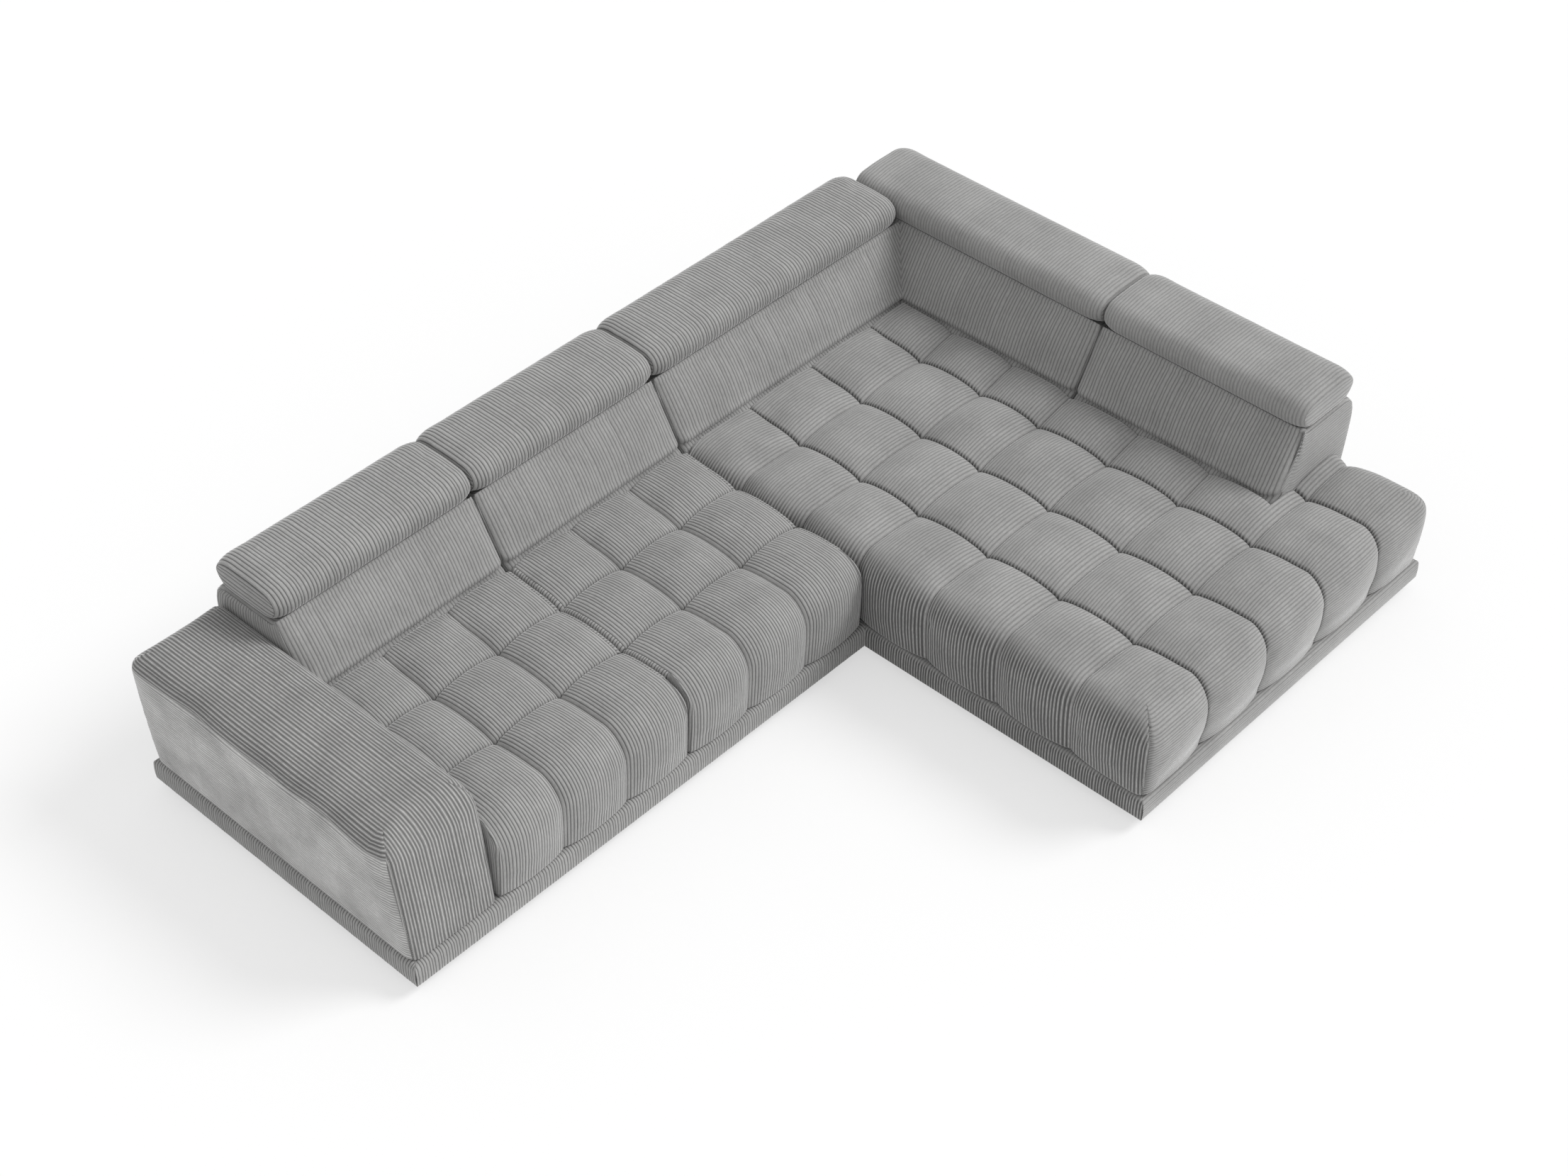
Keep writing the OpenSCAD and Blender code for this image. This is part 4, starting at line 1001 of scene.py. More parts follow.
def cornerPiece(skin):
    # the corner and chaise cushion: ribs run along X, tiles in 5 columns and 7 rows
    cols = np.array([1889.0, 2192, 2492, 2792, 3092, 3356])
    rows = np.array([-1104.0, -811.25, -525.5, -239.75, 46, *plan["rows"]])
    spec = {"edge": 84, "rear": 20, "channel": 26, "drawn": 4, "bulge": 9, "footRound": 18,
            "pitch": 11.7, "frontPitch": 11.0, "rearPitch": 12.0}
    split = plan["sideEnd"] - 4.5
    rise = tiledRise(rows, cols, (True, True), (True, True), swap=True)

    def pull(a, b, ca, cb):
        beside = spec["channel"] * (1 - swell(a, rows, (True, True)) ** 0.5) * (np.abs(cb) > 0.01)
        across = spec["channel"] * (1 - swell(b, cols, (True, True)) ** 0.5) * (np.abs(ca) > 0.01)
        return beside + across
    common = {"swap": True, "rise": rise, "zTop": plan["seatTop"], "zLow": plan["plinthTop"] + 1,
              "footRound": spec["footRound"], "bulge": spec["bulge"], "drawn": spec["drawn"], "pull": pull,
              "draw": (1, 0.2)}
    chaise = Pad(ra=(spec["edge"], spec["rear"]), rb=(spec["edge"], spec["edge"]), **common)
    corner = Pad(ra=(spec["edge"], spec["rear"]), rb=(spec["edge"], spec["rear"]), **common)
    plainSurface = corner.surface

    def leaning(*args):
        p = plainSurface(*args)
        p[..., 0] = np.minimum(p[..., 0], plan["sideFoot"] + backLimit(p[..., 2], 3.5))
        p[..., 1] = np.minimum(p[..., 1], plan["backFoot"] + backLimit(p[..., 2], 3.5))
        return p
    corner.surface = leaning
    centre = (2400.0, -100.0, 260.0)
    a0, a1 = rows[0] + spec["edge"], plan["tilesEnd"]
    b0, bFar, bNear = cols[0] + spec["edge"], cols[5] - spec["edge"], 2951.0
    seams = [split, *rows[2:7], a1]
    segs1 = [(a0, rows[1]), (rows[1], split)]
    m1, f0, f1 = padPanels(skin, chaise, centre, segs1, b0, bFar, cols[1:5], spec["pitch"])
    m2, g0, g1 = padPanels(skin, corner, centre, list(zip(seams, seams[1:])), b0, bNear, cols[1:4], spec["pitch"])
    top1 = alongStations(b0, bFar, cols[1:5])
    top2 = alongStations(b0, bNear, cols[1:4])
    front = sidePanel(skin, chaise, centre, -1, a0, b0, bFar, spec["frontPitch"], top1, held=False)
    rear = sidePanel(skin, corner, centre, 1, a1, b0, bNear, spec["rearPitch"], top2)
    strips = {(sa, sb): cornerStrip(skin, pad, centre, ac, bc, sa, sb, spec["pitch"], stitched=sa < 0)
              for pad, ac, bc, sa, sb in ((chaise, a0, b0, -1, -1), (chaise, a0, bFar, -1, 1),
                                          (corner, a1, b0, 1, -1), (corner, a1, bNear, 1, 1))}
    for sa, edge, side, lo, hi in ((-1, m1[0], front, f0, f1), (1, m2[-1], rear, g0, g1)):
        joinSide(skin, edge, lo, hi, side, len(halfCorner), strips[sa, -1], strips[sa, 1])
    skin.seams += [m1[2][f0:f1], front[:, 2]]
    # the step where the chaise's end passes the last side back
    allPts = np.concatenate(skin.points)
    row1, row2 = m1[-1], m2[0]
    reached = allPts[row1][:, 0] >= allPts[row2[g1 - 1]][0] - 1
    part = int(np.argmax((np.arange(len(row1)) >= f0) & reached))
    skin.zip(row1[:part + 1], row2[:g1])
    skin.zip(row1[part:], row2[g1 - 1:], centre=(3000, -900, 260))
    loop = list(m1[:, 0]) + list(m2[1:, 0]) + list(strips[1, -1][1:, -1]) + list(rear[1:, -1]) + \
        list(strips[1, 1][:-1, -1][::-1]) + list(m2[::-1, -1][1:]) + list(m1[::-1, -1]) + \
        list(strips[-1, 1][1:, -1]) + list(front[::-1, -1][1:]) + list(strips[-1, -1][:-1, -1][::-1])[:-1]
    skin.fan(loop, (2400, -900, 260), tip=(2400, -900, plan["plinthTop"] + 1))


armForm = {
    "top": 557, "radius": 55, "frontRadius": 82, "innerRadius": 44, "front": 10, "lean": 48, "rearLean": 20,
    "inset": 4, "flare": 6, "pitch": 11.8, "sidePitch": 10.2, "sideGap": 2, "crown": 8, "bulge": 3, "drawn": 5,
    "footRound": 8, "waves": 1.3, "soft": 2.6,
    "edgeShare": 0.17, "edgeCrease": 4,  # how far the top's cloth reaches down the outer side, and its seam
}


def armPiece(skin):
    f = armForm
    r = f["radius"]
    a0, a1 = f["inset"] + r, plan["armRight"] - f["sideGap"] - f["innerRadius"]
    b0, b1 = f["front"] + f["lean"] + f["frontRadius"], plan["rearLine"] - f["inset"] + f["rearLean"] - r

    def rise(a, b):
        ka = 1 - (2 * (a - a0) / (a1 - a0) - 1) ** 2
        kb = 1 - (2 * (b - b0) / (b1 - b0) - 1) ** 2
        return f["top"] - f["crown"] * (1 - ka * kb)

    def batter(b):
        t = (b - b0) / (b1 - b0)
        return -f["lean"] + t * (f["lean"] - f["rearLean"])

    def wrinkle(p, ac, bc, ca, cb, s):
        # the outer side's slack: waves under the edge, broad hollows below
        outer = smoothStep(-ca * 1.2) * np.sin(np.minimum(s * 6, 1) * math.pi / 2)
        edge = np.exp(-((s - 0.16) / 0.10) ** 2)
        wave = f["waves"] * softNoise(p[..., 1], 0 * s, 0 * s + 40 * s, 11, 210) * edge
        broad = f["soft"] * softNoise(p[..., 1], p[..., 2] * 1.4, 0 * s, 12, 330)
        end = np.clip(1 - np.abs(2 * (bc - b0) / (b1 - b0) - 1) ** 6, 0, 1)
        d = np.zeros_like(p)
        crease = f["edgeCrease"] * np.exp(-((s - f["edgeShare"] - 0.008 * wave) / 0.016) ** 2)
        d[..., 0] = -(wave + broad - 1.5 - crease) * outer * end * np.clip((1 - s) * 5, 0, 1)
        d[..., 2] = 0.7 * wave * outer * end
        return d
    pad = Pad(ra=(r, f["innerRadius"]), rb=(f["frontRadius"], r), rise=rise, zTop=f["top"],
              zLow=plan["plinthTop"] + 1, footRound=f["footRound"], bulge=f["bulge"], drawn=f["drawn"],
              flare=f["flare"], batter=batter, wrinkle=wrinkle, pull=lambda a, b, ca, cb: 0 * a, draw=(1, 0.3))
    centre = ((a0 + a1) / 2, (b0 + b1) / 2, 330)
    m, f0, f1 = padPanels(skin, pad, centre, [(a0, a1)], b0, b1, (), f["pitch"])
    top = alongStations(b0, b1)
    # the outer side below the top's cloth takes the arm's second look, painted lighter
    left = sidePanel(skin, pad, centre, -1, a0, b0, b1, f["sidePitch"], top, False, (0, 1, f["edgeShare"]))
    right = sidePanel(skin, pad, centre, 1, a1, b0, b1, f["sidePitch"], top)
    closePad(skin, pad, centre, m, f0, f1, left, right, a0, a1, b0, b1, f["pitch"], len(halfCorner))


def smoothChain(points, step):
    # a smooth line through points, resampled evenly
    p = np.array(points, float)
    out = []
    for i in range(len(p) - 1):
        p0, p1, p2, p3 = p[max(i - 1, 0)], p[i], p[i + 1], p[min(i + 2, len(p) - 1)]
        m1, m2 = (p2 - p0) / 2, (p3 - p1) / 2
        for t in np.linspace(0, 1, 12, endpoint=False):
            start, end, leaving, arriving = hermite(t)
            out.append(start * p1 + leaving * m1 + end * p2 + arriving * m2)
    out.append(p[-1])
    return evenChain(np.array(out), step)


def evenChain(p, step):
    p = np.array(p, float)
    d = chainRun(p[:, :2])
    n = max(2, round(d[-1] / step))
    want = np.linspace(0, d[-1], n + 1)
    return np.stack([np.interp(want, d, p[:, k]) for k in range(p.shape[1])], -1)


def chainAt(p, share):
    d = chainRun(p)
    d = d / d[-1]
    return np.stack([np.interp(share, d, p[:, k]) for k in range(p.shape[1])], -1)


def loftPiece(skin, section, marks, shape, place, ribs, capRibs, centre, limit=None):
    # section: (n, 2) closed loop of depth and height; marks: its four corners for the end caps
    # shape(u, section) gives the section's points at u; place(u, v, z) puts them in the plan
    loop = np.vstack([section, section[:1]])
    d = chainRun(loop[:, :2])
    key = np.arange(len(loop), dtype=float)
    u0, u1, pitch = ribs

    def spot(u, q):
        p = place(u, q[..., 0], q[..., 1])
        return p if limit is None else limit(p)

    def f(u, v):
        return spot(u, shape(u, section[v.astype(int) % len(section)]))
    body = skin.panel(f, ribStations([(u0, u1, pitch)]), (key, d), centre, closed=True)
    for end, (u, row) in enumerate(((u0, body[0]), (u1, body[-1]))):
        mode, bulge, finish = capRibs[end]
        if mode is None:
            skin.fan(row[:-1], centre)
            continue
        q = shape(np.full(len(section), float(u)), section)
        fb, ft, rt, rb = marks
        ring = np.vstack([q, q])
        n = len(section)

        def part(i, j):
            return ring[i:j + 1] if j >= i else ring[i:j + n + 1]
        front, top, rear, base = part(fb, ft), part(ft, rt), part(rt, rb)[::-1], part(rb, fb)[::-1]

        def cap(w, s):
            fore, aft, under, over = chainAt(front, s), chainAt(rear, s), chainAt(base, w), chainAt(top, w)
            w, s = w[..., None], s[..., None]
            c = (1 - w) * fore + w * aft + (1 - s) * under + s * over - (
                (1 - w) * (1 - s) * front[0] + w * (1 - s) * rear[0] + (1 - w) * s * front[-1] + w * s * rear[-1])
            fill = (16 * w * (1 - w) * s * (1 - s))[..., 0]
            out = bulge * np.clip(fill, 0, 1) ** 0.4 * (-1 if end == 0 else 1)
            return spot(u + out, c)
        wide = np.linalg.norm(top[-1] - top[0]) * 0.5 + np.linalg.norm(base[-1] - base[0]) * 0.5
        tall = np.linalg.norm(front[-1] - front[0])
        upright = mode == "up"
        run, over = (tall, wide) if upright else (wide, tall)
        plain, blend = (0, 8) if upright else (9, 10)  # mm from a rib's end where it is flat, and where it rises
        st = np.concatenate([[0, 0.02, 0.05], np.linspace(0.1, 0.9, max(3, round(run / 24))), [0.95, 0.98, 1]])
        fade = np.clip((np.minimum(st, 1 - st) * run - plain) / blend, 0, 1)
        ids = skin.panel(cap if upright else lambda a, b: cap(b, a), ribStations([(0.0, 1.0, 12.0 / over)]),
                         (st, st * run), centre, fade[None, :], finish=finish)
        grid = ids if upright else ids.T
        closed = np.concatenate([row[:-1], row[:-1]])
        if finish == 0:
            skin.seams.append(body[2] if end == 0 else body[-3])

        def chain(i, j):
            return closed[i:j + 1] if j >= i else closed[i:j + n + 1]
        skin.zip(chain(fb, ft), grid[0])
        skin.zip(chain(ft, rt), grid[:, -1])
        skin.zip(chain(rt, rb)[::-1], grid[-1])
        skin.zip(chain(rb, fb)[::-1], grid[:, 0])


backForm = {
    "depth": 420, "swell": 45, "height": 484, "crown": 13, "endRound": 36, "endDraw": 0.05,
    "endFace": 12, "lastRound": 62, "lastFace": 26,      # how the face turns in at the joints and the row's end
    "capBulge": 3, "step": 19, "pitch": 12.4,
    "gather": 4.5, "gatherEvery": 96, "gatherWidth": 9,  # soft folds that fall from the headrest, mm
    "tuck": 12, "footRoll": 4, "cornerTuck": 18,         # how the face turns in above the seat
    "far": 2000,                                         # an end that isn't rounded lies this much further
}
restForm = {
    "pivotV": 207, "pivotZ": 657, "radius": 57, "depth": 300, "rise": 5, "endRound": 72,
    "endDraw": 0.34, "capBulge": 4, "step": 15, "pitch": 12.6,
}


def nearest(section, v, z):
    return int(np.argmin((section[:, 0] - v) ** 2 + (section[:, 1] - z) ** 2))


def backSection():
    f = backForm
    z0, zl, zb = plan["plinthTop"] + 1.0, plan["leanFrom"], plan["backTop"]
    lean = plan["lean"]
    dip = restForm["radius"] + 3
    start = (plan["seatTop"] + 2 - zl) / (zb - zl)
    foot = evenChain([(0.5, z0 + 8, 0), (0.5, zl, 0)], 45)
    t = np.linspace(start, 1, 12)
    slope = [(lean * s, zl + (zb - zl) * s, math.sin(math.pi * (s - start) / (1 - start))) for s in t]
    low = evenChain([(0.5, zl, 0), (lean * start, zl + (zb - zl) * start, 0)], 11)[1:-1]
    slope = evenChain(slope, f["step"])
    close = [plan["seatTop"] + k for k in (8, 14, 21, 30)]  # closer points where the face turns in
    near = [(lean * (z - zl) / (zb - zl), z, float(np.interp(z, slope[:, 1], slope[:, 2]))) for z in close]
    slope = np.vstack([slope[:1], near, slope[slope[:, 1] > close[-1] + 6]])
    lip = [(lean + 4, zb + 12, 0), (lean + 12, zb + 17, 0)]
    pv, pz = restForm["pivotV"], restForm["pivotZ"]
    arc = [(pv + dip * math.cos(a), pz + dip * math.sin(a), 0) for a in np.radians(np.linspace(-142, -103, 5))]
    rearShape = ((0.6, 0.967), (0.93, 0.897), (1, 0.8), (0.8, 0.6), (0.4, 0.34), (0.1, 0.1), (0, 0.02))
    rear = [(f["depth"] - f["swell"] / 3 + 6, zb, 0)] + \
        [(f["depth"] + a * f["swell"], plan["plinthTop"] + b * f["height"], 0) for a, b in rearShape]
    rear = smoothChain(rear, 26)
    top = evenChain([(217, zb, 0), (f["depth"] - f["swell"] / 3, zb, 0)], 45)
    base = evenChain([(f["depth"] - 8, z0, 0), (9, z0, 0)], 90)
    return np.vstack([foot, low, slope, lip, arc, top[:-1], rear, base])


def restSection():
    f = restForm
    r, pv, pz = f["radius"], f["pivotV"], f["pivotZ"]
    far = plan["lean"] + f["depth"]
    pts = [(pv + r * math.cos(a), pz + r * math.sin(a)) for a in np.radians(np.arange(-90, -271, -15))]
    pts += [(pv + 60, pz + r + f["rise"]), (pv + 130, pz + r + f["rise"]), (far - 70, pz + r + f["rise"] - 1),
            (far - 34, pz + r - 7), (far - 10, pz + r - 30), (far - 1, pz + 2), (far - 9, pz - r + 32),
            (far - 30, pz - r + 9), (far - 62, pz - r), (pv + 90, pz - r)]
    pts.append(pts[0])
    out = smoothChain(pts, f["step"])
    return out[:-1]


def endShare(u, lo, hi, r):
    e = np.minimum(np.minimum(u - lo, hi - u), r)
    return 1 - np.sqrt(np.clip(1 - (1 - e / r) ** 2, 0, 1))


backStart = [338.0, 1115, 1892, 1181, 46]
backLength = [773.0, 773, 1039, 1131, 803]
restLength = [773.0, 773, 1185, 1131, 803]
restFrom = [0.0, 0, 0, 38, 0]


def placeAt(i):
    # a back's own length, depth and height to the plan
    if i < 3:
        return lambda u, v, z: np.stack(np.broadcast_arrays(backStart[i] + u, plan["backFoot"] + v, z), -1).copy()
    return lambda u, v, z: np.stack(np.broadcast_arrays(plan["sideFoot"] + v, backStart[i] - u, z), -1).copy()


def backPiece(skin, i):
    f = backForm
    section = backSection()
    l = backLength[i]
    full = l + plan["lean"] + 4 if i == 2 else l
    mid = (f["depth"] + plan["lean"] / 4) / 2
    crownFrom = plan["rearLine"] - 8 - plan["backFoot"] if i == 3 else 0
    rng = np.random.default_rng(40 + i)
    count = round((l - crownFrom) / f["gatherEvery"])
    folds = [(crownFrom + (l - crownFrom) * (k + 0.5 + rng.uniform(-0.25, 0.25)) / count,
              f["gather"] * rng.uniform(0.4, 1.2), f["gatherWidth"] * rng.uniform(0.8, 1.5)) for k in range(count)]

    def shape(u, s):
        e = endShare(u, 0, full + (f["far"] if i == 2 else 0), f["endRound"])
        last = endShare(u, -f["far"], full, f["lastRound"]) if i == 4 else 0 * e  # the open end of the row
        c = np.where(u < crownFrom, 0, 1 - np.abs(2 * np.minimum(1, (u - crownFrom) / (l - crownFrom)) - 1) ** 4)
        # 0 at the seat, 1 under the headrest
        up = (s[..., 1] - plan["seatTop"]) / (plan["backTop"] - plan["seatTop"])
        face = (s[..., 0] < plan["lean"] + 3) & (up > 0)
        fold = np.clip(up, 0, 1) ** 0.8 * np.clip((1.02 - up) * 12, 0, 1) * face
        dip = sum(a * np.exp(-((u - g) / w) ** 2) for g, a, w in folds) * fold
        rise = s[..., 1] - plan["seatTop"]
        e = e * (u > l / 2) if i == 3 else e  # its rear end meets the third back
        low = (s[..., 0] < 100) & (rise > -40)
        inward = f["tuck"] * np.exp(-((rise + 7) / 7.0) ** 2) * low
        corner = f["cornerTuck"] * e ** 1.3 * np.exp(-((rise + 4) / 20.0) ** 2) * low
        front = (s[..., 0] < plan["lean"] + 12) & (rise > -60)
        open = f["lastFace"] * last * (1 + 0.7 * np.exp(-((rise + 4) / 38.0) ** 2))
        corner = corner + (f["endFace"] * e + open) * front
        out = f["footRoll"] * np.exp(-((rise - 13) / 13.0) ** 2) * low
        moved = s[..., 0] - f["crown"] * s[..., 2] * c + dip + inward + corner - out
        v = mid + (moved - mid) * (1 - f["endDraw"] * e)
        z = plan["plinthTop"] + (s[..., 1] - plan["plinthTop"]) * (1 - 0.5 * f["endDraw"] * e)
        return np.stack([v, z], -1)

    def limit(p):
        if i == 2:  # ends at the face of the side backs
            p[..., 0] = np.minimum(p[..., 0], plan["sideFoot"] + backLimit(p[..., 2], 1))
        return p
    marks = [nearest(section, 0, 120), nearest(section, plan["lean"], plan["backTop"]),
             nearest(section, f["depth"] + 10, plan["backTop"] - 8), nearest(section, f["depth"] - 8, 116)]
    at = placeAt(i)
    centre = at(np.array(l / 2), np.array(230.0), np.array(350.0))
    inset = f["capBulge"]
    caps = [("up", inset, 0), ("level", inset, 1) if i == 4 else ("up", inset, 0)]
    if i == 2:
        caps[1] = (None, 0, 0)
    ribs = inset, full if i == 2 else l - inset, f["pitch"]
    loftPiece(skin, section, marks, shape, at, ribs, caps, centre, limit)


def restPiece(skin, i):
    f = restForm
    section = restSection()
    lo, hi = restFrom[i], restLength[i]
    mid = plan["lean"] + f["depth"] / 2

    def shape(u, s):
        e = endShare(u, lo, hi, f["endRound"])
        v = mid + (s[..., 0] - mid) * (1 - 0.5 * f["endDraw"] * e)
        z = f["pivotZ"] + (s[..., 1] - f["pivotZ"]) * (1 - f["endDraw"] * e)
        return np.stack([v, z], -1)
    at = placeAt(i)
    pv, pz, r = f["pivotV"], f["pivotZ"], f["radius"]
    far = plan["lean"] + f["depth"]
    marks = [nearest(section, pv - r * 0.55, pz - r * 0.84), nearest(section, pv - r * 0.6, pz + r * 0.8),
             nearest(section, far - 16, pz + r - 18), nearest(section, far - 16, pz - r + 18)]
    centre = at(np.array((lo + hi) / 2), np.array(300.0), np.array(float(pz)))
    inset = f["capBulge"]
    loftPiece(skin, section, marks, shape, at, (lo + inset, hi - inset, f["pitch"]),
              [("level", inset, 0), ("level", inset, 0)], centre)


rails = {
    # name: (corner, direction of the length, direction inwards, length, start, end, ribs along)
    "main_plinth_front": ((0, 0), (1, 0), (0, 1), 1890, 1, -1, False),
    "main_plinth_side": ((0, 1189), (0, -1), (1, 0), 1189, 1, 1, False),
    "main_plinth_rear": ((1889.75, 1189), (-1, 0), (0, -1), 1889.75, 0, 1, False),
    "chaise_plinth_side": ((1890, 0), (0, -1), (1, 0), 1105, -1, 1, False),
    "chaise_plinth_end": ((1890, -1105), (1, 0), (0, 1), 1471, 1, 1, True),
    "corner_plinth_side": ((3361, -1105), (0, 1), (-1, 0), 2294, 1, 1, False),
    "corner_plinth_rear": ((3361, 1189), (-1, 0), (0, -1), 1470.75, 1, 0, False),
}


def railSection():
    t, z0, z1, r = plan["plinthDepth"], plan["footTop"], plan["plinthTop"], plan["plinthRound"]
    pts = [(t, z0), (t * 0.5, z0), (r, z0)]
    pts += [(r - r * math.sin(a), z0 + r - r * math.cos(a)) for a in np.linspace(0.3, math.pi / 2, 5)]
    pts += [(-1.2, z0 + (z1 - z0) * 0.36), (-1.6, z0 + (z1 - z0) * 0.5), (-1.2, z0 + (z1 - z0) * 0.64)]
    pts += [(r - r * math.cos(a), z1 - r + r * math.sin(a)) for a in np.linspace(0, math.pi / 2 - 0.3, 5)]
    pts += [(r, z1), (t * 0.5, z1), (t, z1), (t, (z0 + z1) / 2)]
    return np.array(pts, float)


def railPiece(name):
    corner, along, inward, length, start, finish, level = rails[name]
    along, inward = np.array(along, float), np.array(inward, float)
    section = railSection()
    joined = name.title().replace("_", "")
    # the chaise's rails take the flat look, with its painted shade on the side facing along X
    skin = Skin(joined[0].lower() + joined[1:] + "Cover", ("flat" if joined.startswith("Chaise") else "wide",))
    t, pitch, fade = plan["plinthDepth"], 10.3, 0.7
    lo, hi = (-t if start < 0 else 0), length + (t if finish < 0 else 0)

    def place(u, v, z):
        if start:
            u = np.maximum(u, start * v)
        if finish:
            u = np.minimum(u, length - finish * v)
        p = np.stack(np.broadcast_arrays(corner[0] + along[0] * u + inward[0] * v,
                                         corner[1] + along[1] * u + inward[1] * v, z), -1)
        return p.copy()
    loop = np.vstack([section, section[:1]])
    d = chainRun(loop)
    centre = place(np.array(length / 2), np.array(t / 2), np.array(71.0))
    if not level:
        key = np.arange(len(loop), dtype=float)

        def f(u, v):
            q = loop[v.astype(int)]
            return place(u, q[..., 0], q[..., 1])
        ids = skin.panel(f, ribStations([(lo, hi, pitch)]), (key, d), centre, fade, closed=True)
        rowA, rowB = ids[0][:-1], ids[-1][:-1]
    else:
        fine = evenChain(loop, 2.0)
        df = np.linspace(0, d[-1], len(fine))
        across = ribStations([(0.0, d[-1], pitch)])

        def f(u, v):
            q = np.stack([np.interp(u, df, fine[:, 0]), np.interp(u, df, fine[:, 1])], -1)
            return place(v, q[..., 0], q[..., 1])
        st = alongStations(lo, hi, (t,), close=(16, 32, 48, 64))
        closer = np.array([4, 10, 20, 34, 50])
        st = np.unique(np.concatenate([st, lo + closer, hi - closer]))
        ids = skin.panel(f, across, (st, st), centre, fade)
        rowA, rowB = ids[:-1, 0], ids[:-1, -1]
    skin.fan(rowA, centre)
    skin.fan(rowB, centre)
    return skin.build()


stitchPaths = {}


def dress(piece, body, node):
    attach(piece, body)
    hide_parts(node)
    print("made", piece.name, len(piece.data.polygons), "triangles")


def holdPad(p):
    # the foot and what the backs and neighbours press on stays put
    return np.clip((200 - p[:, 2]) / 60, 0, 1)


def holdBack(p):
    # only the leaning face is free to puff
    free = smoothStep((p[:, 2] - 425) / 40) * smoothStep((600 - p[:, 2]) / 30)
    return 1 - free * smoothStep((p[:, 1] - backStart[4] + backLength[4]) / 90)


def holdRest(i):
    at = placeAt(i)

    def hold(p):
        # the front roll keeps its round, because it turns in the back's hollow
        v = p[:, 1] - plan["backFoot"] if i < 3 else p[:, 0] - plan["sideFoot"]
        return 1 - smoothStep((v - 190) / 60) * smoothStep((p[:, 2] - 640) / 50)
    return hold


puff = {"seat": 7.0, "corner": 7.0, "arm": 3.0, "back": 4.0, "rest": 2.5}  # most that a point may move, mm

for k, (x0, x1) in enumerate(((338.0, 1111.0), (1115.0, 1888.0)), 1):
    sewn(f"seatCover{k}", ("wide",), lambda s: seatPiece(s, x0, x1), puff["seat"], "sofa", f"seat_cushion_{k}",
         holdPad, seatLimit)
sewn("cornerCover", ("flat",), cornerPiece, puff["corner"], "sofa", "corner_cushion", holdPad)
sewn("armCover", ("combed", "brushed"), armPiece, puff["arm"], "sofa", "arm_cushion", holdPad)
for i in range(5):
    sewn(f"backCover{i + 1}", ("taut", "level"), lambda s: backPiece(s, i), puff["back"], "sofa",
         f"back_cushion_{i + 1}", holdBack)
    sewn(f"headrestCover{i + 1}", ("level" if i > 2 else "wide",), lambda s: restPiece(s, i), puff["rest"],
         f"headrest_{i + 1}", f"headrest_cushion_{i + 1}", holdRest(i))
for name in rails:
    dress(railPiece(name), "sofa", name)

stitch = {"spacing": 8.5, "length": 5.4, "thickness": 1.3}   # mm
staple = {"spacing": 58.0, "length": 11.0, "thickness": 1.2, "inset": 12.0}


def strokeTree():
    # short strokes set along paths, for stitches and staples
    tree = bpy.data.node_groups.new("strokesAlongPaths", "GeometryNodeTree")
    sockets = {}
    for name, kind in (("Paths", "Geometry"), ("Spacing", "Float"), ("Length", "Float"), ("Thickness", "Float"),
                       ("Finish", "Material")):
        made = tree.interface.new_socket(name=name, in_out="INPUT", socket_type="NodeSocket" + kind)
        sockets[name] = made.identifier
    tree.interface.new_socket(name="Strokes", in_out="OUTPUT", socket_type="NodeSocketGeometry")
    add = tree.nodes.new
    start, end = add("NodeGroupInput"), add("NodeGroupOutput")
    curve, even = add("GeometryNodeMeshToCurve"), add("GeometryNodeResampleCurve")
    even.mode = "LENGTH"
    stroke, place = add("GeometryNodeMeshUVSphere"), add("GeometryNodeInstanceOnPoints")
    stroke.inputs["Segments"].default_value, stroke.inputs["Rings"].default_value = 6, 4
    stroke.inputs["Radius"].default_value = 0.5
    tangent, align = add("GeometryNodeInputTangent"), add("FunctionNodeAlignRotationToVector")
    align.axis = "Z"
    size, finish = add("ShaderNodeCombineXYZ"), add("GeometryNodeSetMaterial")
    solid = add("GeometryNodeRealizeInstances")
    for source, output, target, inlet in (
            (start, "Paths", curve, "Mesh"), (curve, "Curve", even, "Curve"), (start, "Spacing", even, "Length"),
            (even, "Curve", place, "Points"), (stroke, "Mesh", place, "Instance"),
            (tangent, "Tangent", align, "Vector"), (align, "Rotation", place, "Rotation"),
            (start, "Thickness", size, 0), (start, "Thickness", size, 1), (start, "Length", size, 2),
            (size, "Vector", place, "Scale"), (place, "Instances", solid, "Geometry"),
            (solid, "Geometry", finish, "Geometry"), (start, "Finish", finish, "Material"),
            (finish, "Geometry", end, "Strokes")):
        tree.links.new(source.outputs[output], target.inputs[inlet])
    return tree, sockets


strokes, strokeSockets = strokeTree()


def strokesAlong(name, paths, sizes, material, body):
    # sizes in mm; one plain mesh for a body
    points = np.concatenate(paths)
    edges, start = [], 0
    for path in paths:
        edges += [(start + k, start + k + 1) for k in range(len(path) - 1)]
        start += len(path)
    mesh = bpy.data.meshes.new(name + "Paths")
    mesh.from_pydata(points.tolist(), edges, [])
    guide = linked(name + "Paths", mesh)
    make = guide.modifiers.new("strokes", "NODES")
    make.node_group = strokes
    for socket, key in (("Spacing", "spacing"), ("Length", "length"), ("Thickness", "thickness")):
        make[strokeSockets[socket]] = sizes[key] / 1000
    make[strokeSockets["Finish"]] = material
    scene = bpy.context.evaluated_depsgraph_get()
    result = bpy.data.meshes.new_from_object(guide.evaluated_get(scene))
    result.name = name
    bpy.data.objects.remove(guide)
    bpy.data.meshes.remove(mesh)
    piece = linked(name, result)
    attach(piece, body)
    print("made", name, len(result.polygons), "faces")


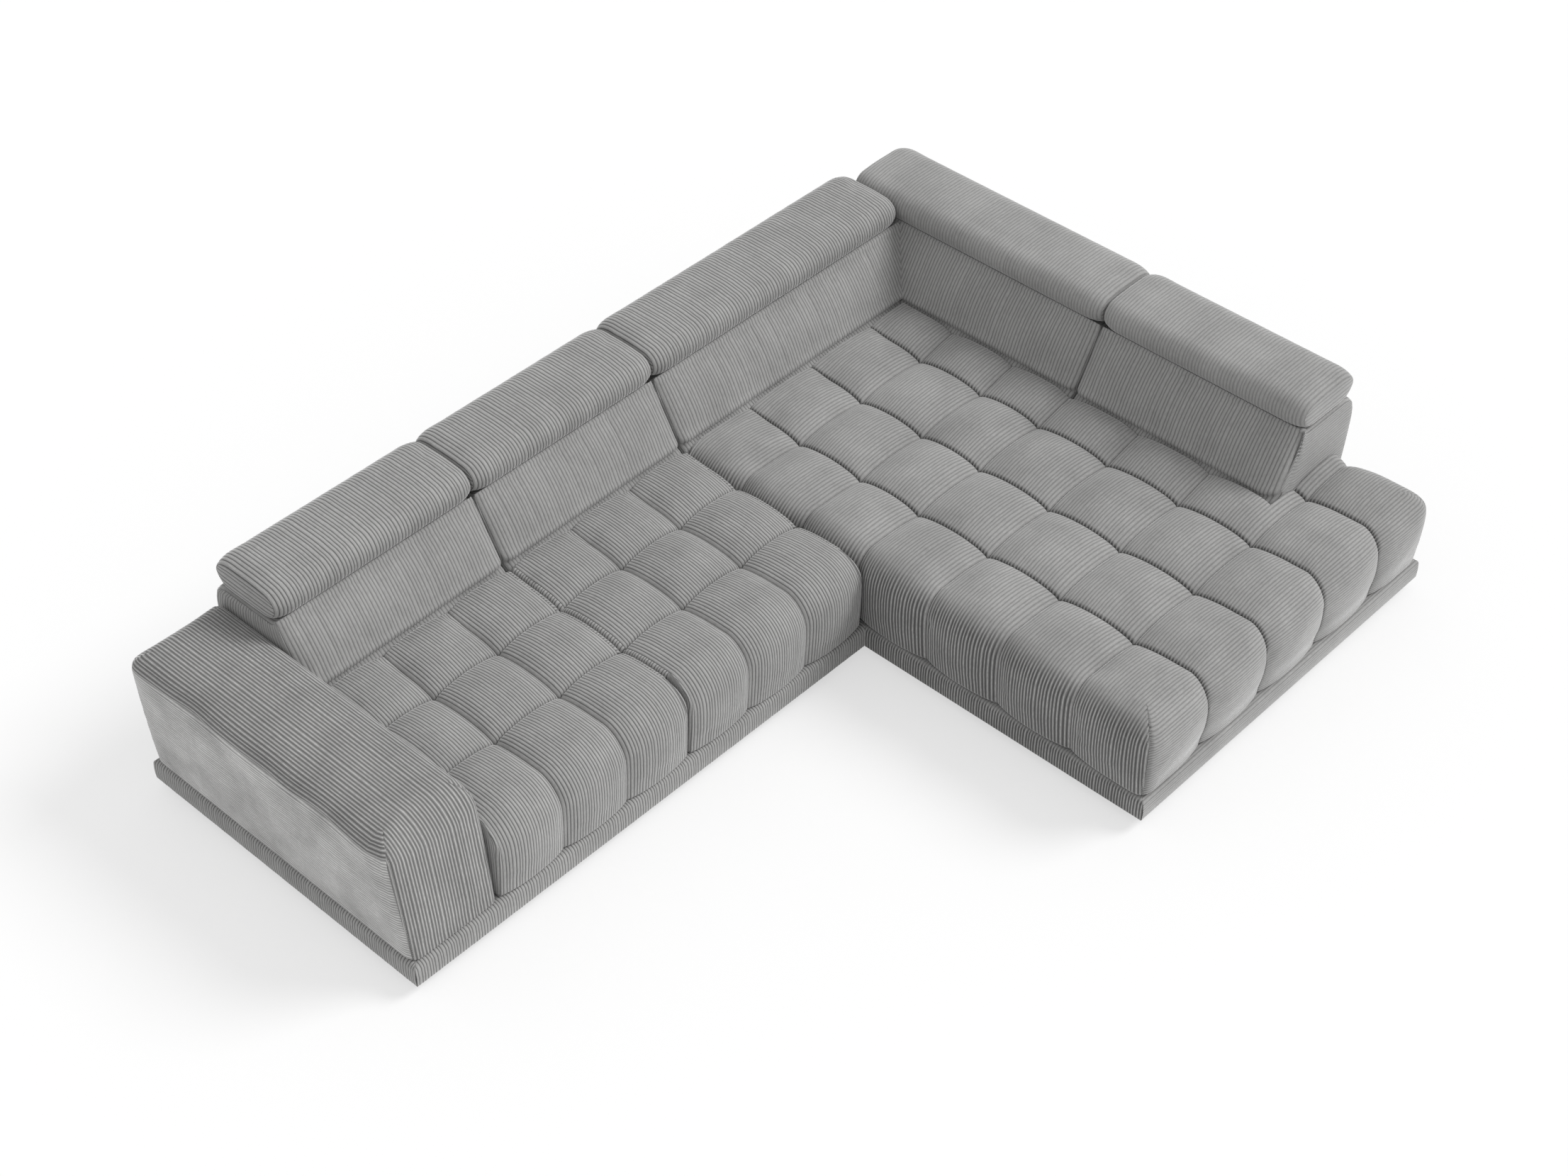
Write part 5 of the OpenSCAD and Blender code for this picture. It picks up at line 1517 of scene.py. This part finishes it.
for body, paths in sorted(stitchPaths.items()):
    if paths:
        strokesAlong("stitches_" + body, paths, stitch, thread, body)
staplePaths = []
for first, name in enumerate(("main_dust_cover", "corner_dust_cover")):
    low, high = (np.array(v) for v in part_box(name))
    inset = staple["inset"] / 1000
    x0, y0, x1, y1, z = low[0] + inset, low[1] + inset, high[0] - inset, high[1] - inset, low[2] - 0.0003
    corners = [(x0, y0, z), (x1, y0, z), (x1, y1, z), (x0, y1, z)]
    staplePaths.append(np.array(corners[first:] + corners[:first + 1]))
strokesAlong("dustCoverStaples", staplePaths, staple, steel, "sofa")

shot = {
    "place": (-2868.7, -4078.4, 6072.9),  # mm, from the photo's perspective
    "pitch": 42.73, "yaw": 47.06,         # degrees
    "film": 36, "focal": 3850.4 / 2212,   # mm, and a share of the film's width
}
pitch, yaw = math.radians(shot["pitch"]), math.radians(shot["yaw"])
look = Vector((math.sin(yaw) * math.cos(pitch), math.cos(yaw) * math.cos(pitch), -math.sin(pitch)))
lens = bpy.data.cameras.new("camera")
lens.sensor_width = shot["film"]
lens.lens = shot["focal"] * shot["film"]
lens.clip_end = 100
camera = linked("camera", lens)
camera.location = (np.array(shot["place"]) - planZero) / 1000
camera.rotation_euler = look.to_track_quat("-Z", "Y").to_euler()
bpy.context.scene.camera = camera

light = {
    "world": 0.65, "key": 1.9, "keyFrom": (0.63, -0.42, 0.71), "keySoft": 26,
    "floor": 0.96, "floorLift": 0.58,  # share of plain white that the camera sees on the floor
}
world = bpy.data.worlds.new("studio")
bpy.context.scene.world = world
world.use_nodes = True
world.node_tree.nodes["Background"].inputs["Color"].default_value = (1, 1, 1, 1)
world.node_tree.nodes["Background"].inputs["Strength"].default_value = light["world"]
sun = bpy.data.lights.new("key", "SUN")
sun.energy = light["key"]
sun.angle = math.radians(light["keySoft"])
lamp = linked("key", sun)
lamp.rotation_euler = Vector(light["keyFrom"]).to_track_quat("Z", "Y").to_euler()

floorMesh = bpy.data.meshes.new("floor")
floorMesh.from_pydata([(-40, -40, 0), (40, -40, 0), (40, 40, 0), (-40, 40, 0)], [], [(0, 1, 2, 3)])
floor = linked("floor", floorMesh)
p = Paint("studioFloor")
p.feed(p.shader, {"Base Color": (light["floor"],) * 3, "Roughness": 0.9})
rays = p.add("LightPath", {})
reflected = p.maths("ADD", rays["Is Glossy Ray"], rays["Is Transmission Ray"])
seenDirectly = p.maths("ADD", rays["Is Camera Ray"], reflected, clamp=True)
blend = p.add("MixShader", {0: p.maths("MULTIPLY", seenDirectly, light["floorLift"]), 1: p.shader.outputs[0],
                            2: p.add("Emission", {"Strength": 1.0})[0]})
p.feed(p.tree.nodes["Material Output"], {"Surface": blend[0]})
floorMesh.materials.append(p.material)
bpy.context.scene.view_settings.view_transform = "Standard"
